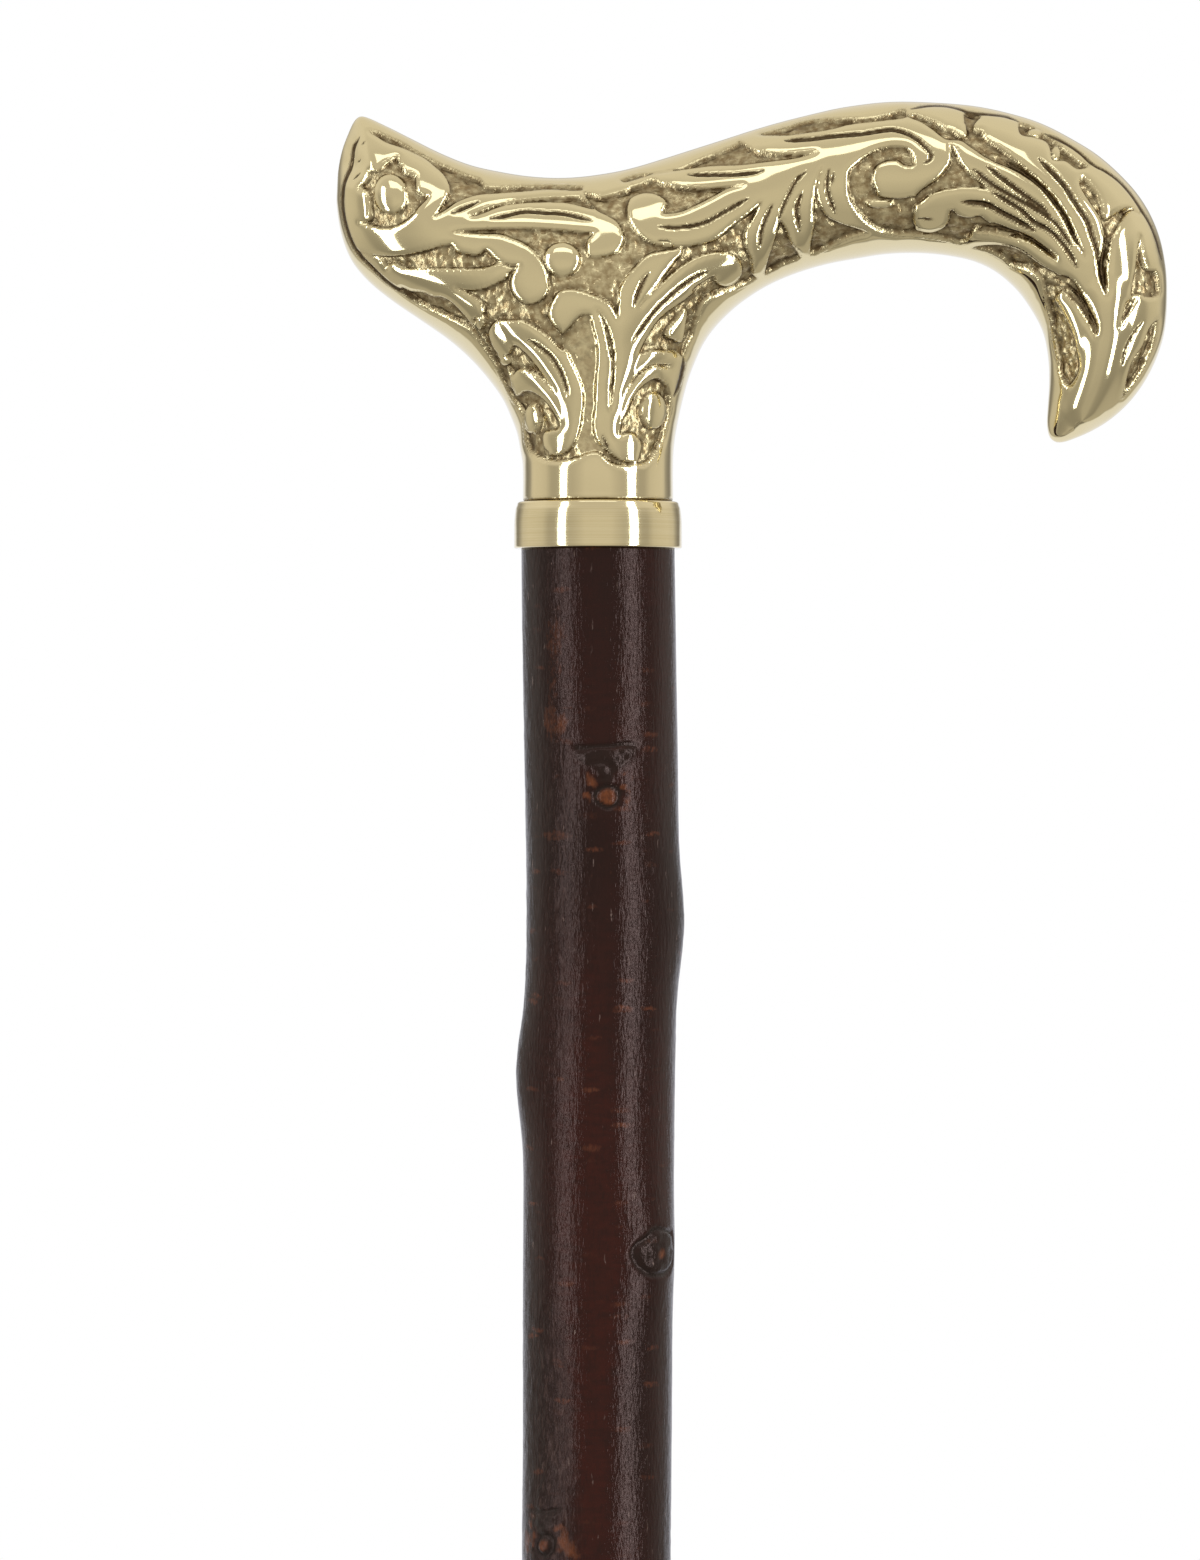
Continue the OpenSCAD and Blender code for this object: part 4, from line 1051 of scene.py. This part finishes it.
# Ferrule: a foot moulded in black rubber, pushed over the turned tip, with grip rings on its sleeve
# and ring grooves under its sole. A zinc plated washer in it keeps the tip from wearing through.
# Moulded rubber is matte with a faint bloom and a sand grain, drawn coarse enough to show.
rubber = lumped("moulded rubber", (2.5, 2.5, 2.5), ("#161617", "#242423"), (0.46, 0.62))
tree = rubber.node_tree
sand_mm, sand_high_mm = 0.7, 0.15
place = add_node(tree, "TexCoord").outputs["Object"]
sand = add_node(tree, "TexNoise", {"Vector": place, "Scale": 1 / (sand_mm * MM), "Detail": 2.0})
sand_bump = add_node(tree, "Bump", {"Height": sand, "Strength": 0.6, "Distance": sand_high_mm * MM})
tree.links.new(sand_bump.outputs[0], tree.nodes["Principled BSDF"].inputs["Normal"])
dress("ferrule", rubber)
dress("ferrule_washer", zinc)

# Floor and light: a pale floor that runs out into the white around it, a white room behind the stick
# and a grey one in front, two upright strip lights beside the camera and a soft light above it.
floor_mesh = bpy.data.meshes.new("floor")
floor_r, floor_plain_r, floor_corners = 1.15, 0.45, 64
floor_mesh.from_pydata(circle(floor_r, 0, floor_corners).tolist(), [], [range(floor_corners)])
# Floor paint is pale and matte, a little uneven from the roller.
floor_paint = lumped("pale floor paint", (40, 40, 40), ("#E5E4E1", "#EBEAE7"), (0.65, 0.75))
tree = floor_paint.node_tree
place = add_node(tree, "TexCoord").outputs["Object"]
out = add_node(tree, "VectorMath", {0: place}, operation="LENGTH")
gone = add_node(tree, "MapRange", {0: out, 1: floor_plain_r, 2: floor_r}, interpolation_type="SMOOTHSTEP")
run_out = add_node(tree, "MixShader", {
    0: gone, 1: tree.nodes["Principled BSDF"], 2: add_node(tree, "BsdfTransparent"),
})
tree.links.new(run_out.outputs[0], tree.nodes["Material Output"].inputs["Surface"])
floor_mesh.materials.append(floor_paint)
floor = bpy.data.objects.new("floor", floor_mesh)
floor.visible_glossy = False
bpy.context.scene.collection.objects.link(floor)
# The foot stands on the floor also when the stick is drawn out of it
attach(floor, "tip")

room = bpy.data.worlds.new("studio")
bpy.context.scene.world = room
room.use_nodes = True
tree = room.node_tree
tree.nodes.clear()
path = add_node(tree, "LightPath").outputs
look = add_node(tree, "TexCoord").outputs["Generated"]
towards = add_node(tree, "SeparateXYZ", {0: look}).outputs
# Level of the walls by the angle round from the camera to the backdrop, as a share of half a turn.
# The strip lights have dark flags beside them.
wall_levels = (
    (0.00, 0.78), (0.10, 0.77), (0.15, 0.68), (0.20, 0.60), (0.25, 0.56), (0.36, 0.50), (0.40, 0.52),
    (0.46, 0.72), (0.52, 0.77), (0.62, 0.80), (0.70, 0.72), (0.755, 0.42), (0.80, 0.28), (0.85, 0.40),
)
wall_red, wall_green, wall_blue = 0.96, 0.92, 0.84
ceiling_front, ceiling_back = (0.68, 0.65, 0.60, 1), (0.87, 0.84, 0.79, 1)
sweep_tone, sweep_way = (0.96, 0.98, 1.06, 1), (0.0, 1.0, -0.7)
white = (1, 1, 1, 1)
aside = add_node(tree, "Math", {0: towards["X"]}, operation="ABSOLUTE")
ahead = add_node(tree, "Math", {0: towards["Y"], 1: -1.0}, operation="MULTIPLY")
round_angle = add_node(tree, "Math", {0: aside, 1: ahead}, operation="ARCTAN2")
walls = add_node(tree, "ValToRGB", {0: add_node(tree, "MapRange", {0: round_angle, 2: math.pi})})
for i, (share, level) in enumerate(wall_levels):
    stop = walls.color_ramp.elements[i] if i < 2 else walls.color_ramp.elements.new(share)
    stop.position = share
    stop.color = (wall_red * level, wall_green * level, wall_blue * level, 1)
# The walls are darker below, by height from -1 to 1, and meet a ceiling above that is paler over the
# backdrop. The white backdrop sweeps under the stick.
upper = add_node(tree, "MapRange", {0: towards["Z"], 1: -0.6, 2: 0.0, 3: 0.72, 4: 0.98})
lit_walls = add_node(tree, "VectorMath", {0: walls, 1: upper}, operation="MULTIPLY")
at_ceiling = add_node(tree, "MapRange", {
    0: towards["Z"], 1: 0.12, 2: 0.42,
}, interpolation_type="SMOOTHSTEP")
over_back = add_node(tree, "MapRange", {0: towards["Y"], 1: -0.6, 2: 0.0})
sweep = add_node(tree, "VectorMath", {0: look, 1: sweep_way}, operation="DOT_PRODUCT")
in_sweep = add_node(tree, "MapRange", {0: sweep, 1: 0.82, 2: 0.92}, interpolation_type="SMOOTHSTEP")
shown = add_node(tree, "Math", {
    0: path["Is Camera Ray"], 1: path["Is Transmission Ray"],
}, operation="MAXIMUM")
ceiling = add_node(tree, "Mix", {0: over_back, 6: ceiling_front, 7: ceiling_back}, data_type="RGBA")
room_tone = lit_walls
for share, tone in ((at_ceiling, ceiling), (in_sweep, sweep_tone), (shown, white)):
    room_tone = add_node(tree, "Mix", {0: share, 6: room_tone, 7: tone}, data_type="RGBA")
sky = add_node(tree, "Background", {"Color": room_tone})
add_node(tree, "OutputWorld", {"Surface": sky})

lamp_height = 0.88
lamp_distance = 1.2
lamp_tint = (0.88, 0.95, 1.0)
# Direction round the stick from the camera, height angle, width, height and watts of each lamp
lamps = {
    "left strip": (-51.0, 0, 0.22, 1.5, 7.0),
    "right strip": (50.5, 0, 0.24, 1.5, 10.0),
    "overhead": (0, 48, 1.0, 0.36, 1.5),
}
for name, (around, above, wide, high, watts) in lamps.items():
    data = bpy.data.lights.new(name, "AREA")
    data.shape = "RECTANGLE"
    data.size, data.size_y, data.energy = wide, high, watts
    data.color = lamp_tint
    lamp = bpy.data.objects.new(name, data)
    lamp.visible_camera = False
    round_angle, up_angle = math.radians(around), math.radians(above)
    lamp.location = (
        lamp_distance * math.sin(round_angle) * math.cos(up_angle),
        -lamp_distance * math.cos(round_angle) * math.cos(up_angle),
        lamp_height + lamp_distance * math.sin(up_angle),
    )
    lamp.rotation_euler = (math.radians(90) - up_angle, 0, round_angle)
    bpy.context.scene.collection.objects.link(lamp)

# Camera: level with the middle of the photograph's frame and square to the handle's side, with the
# lens that gives the photograph's scale at its distance.
camera_data = bpy.data.cameras.new("camera")
frame_height_px = 1560
camera_data.lens = camera_data.sensor_width * camera_distance / (frame_height_px * px_mm)
camera = bpy.data.objects.new("camera", camera_data)
camera.location = (centre_x * MM, -camera_distance * MM, centre_z * MM)
camera.rotation_euler = (math.radians(90), 0, 0)
bpy.context.scene.collection.objects.link(camera)
bpy.context.scene.camera = camera
bpy.context.scene.view_settings.view_transform = "Standard"
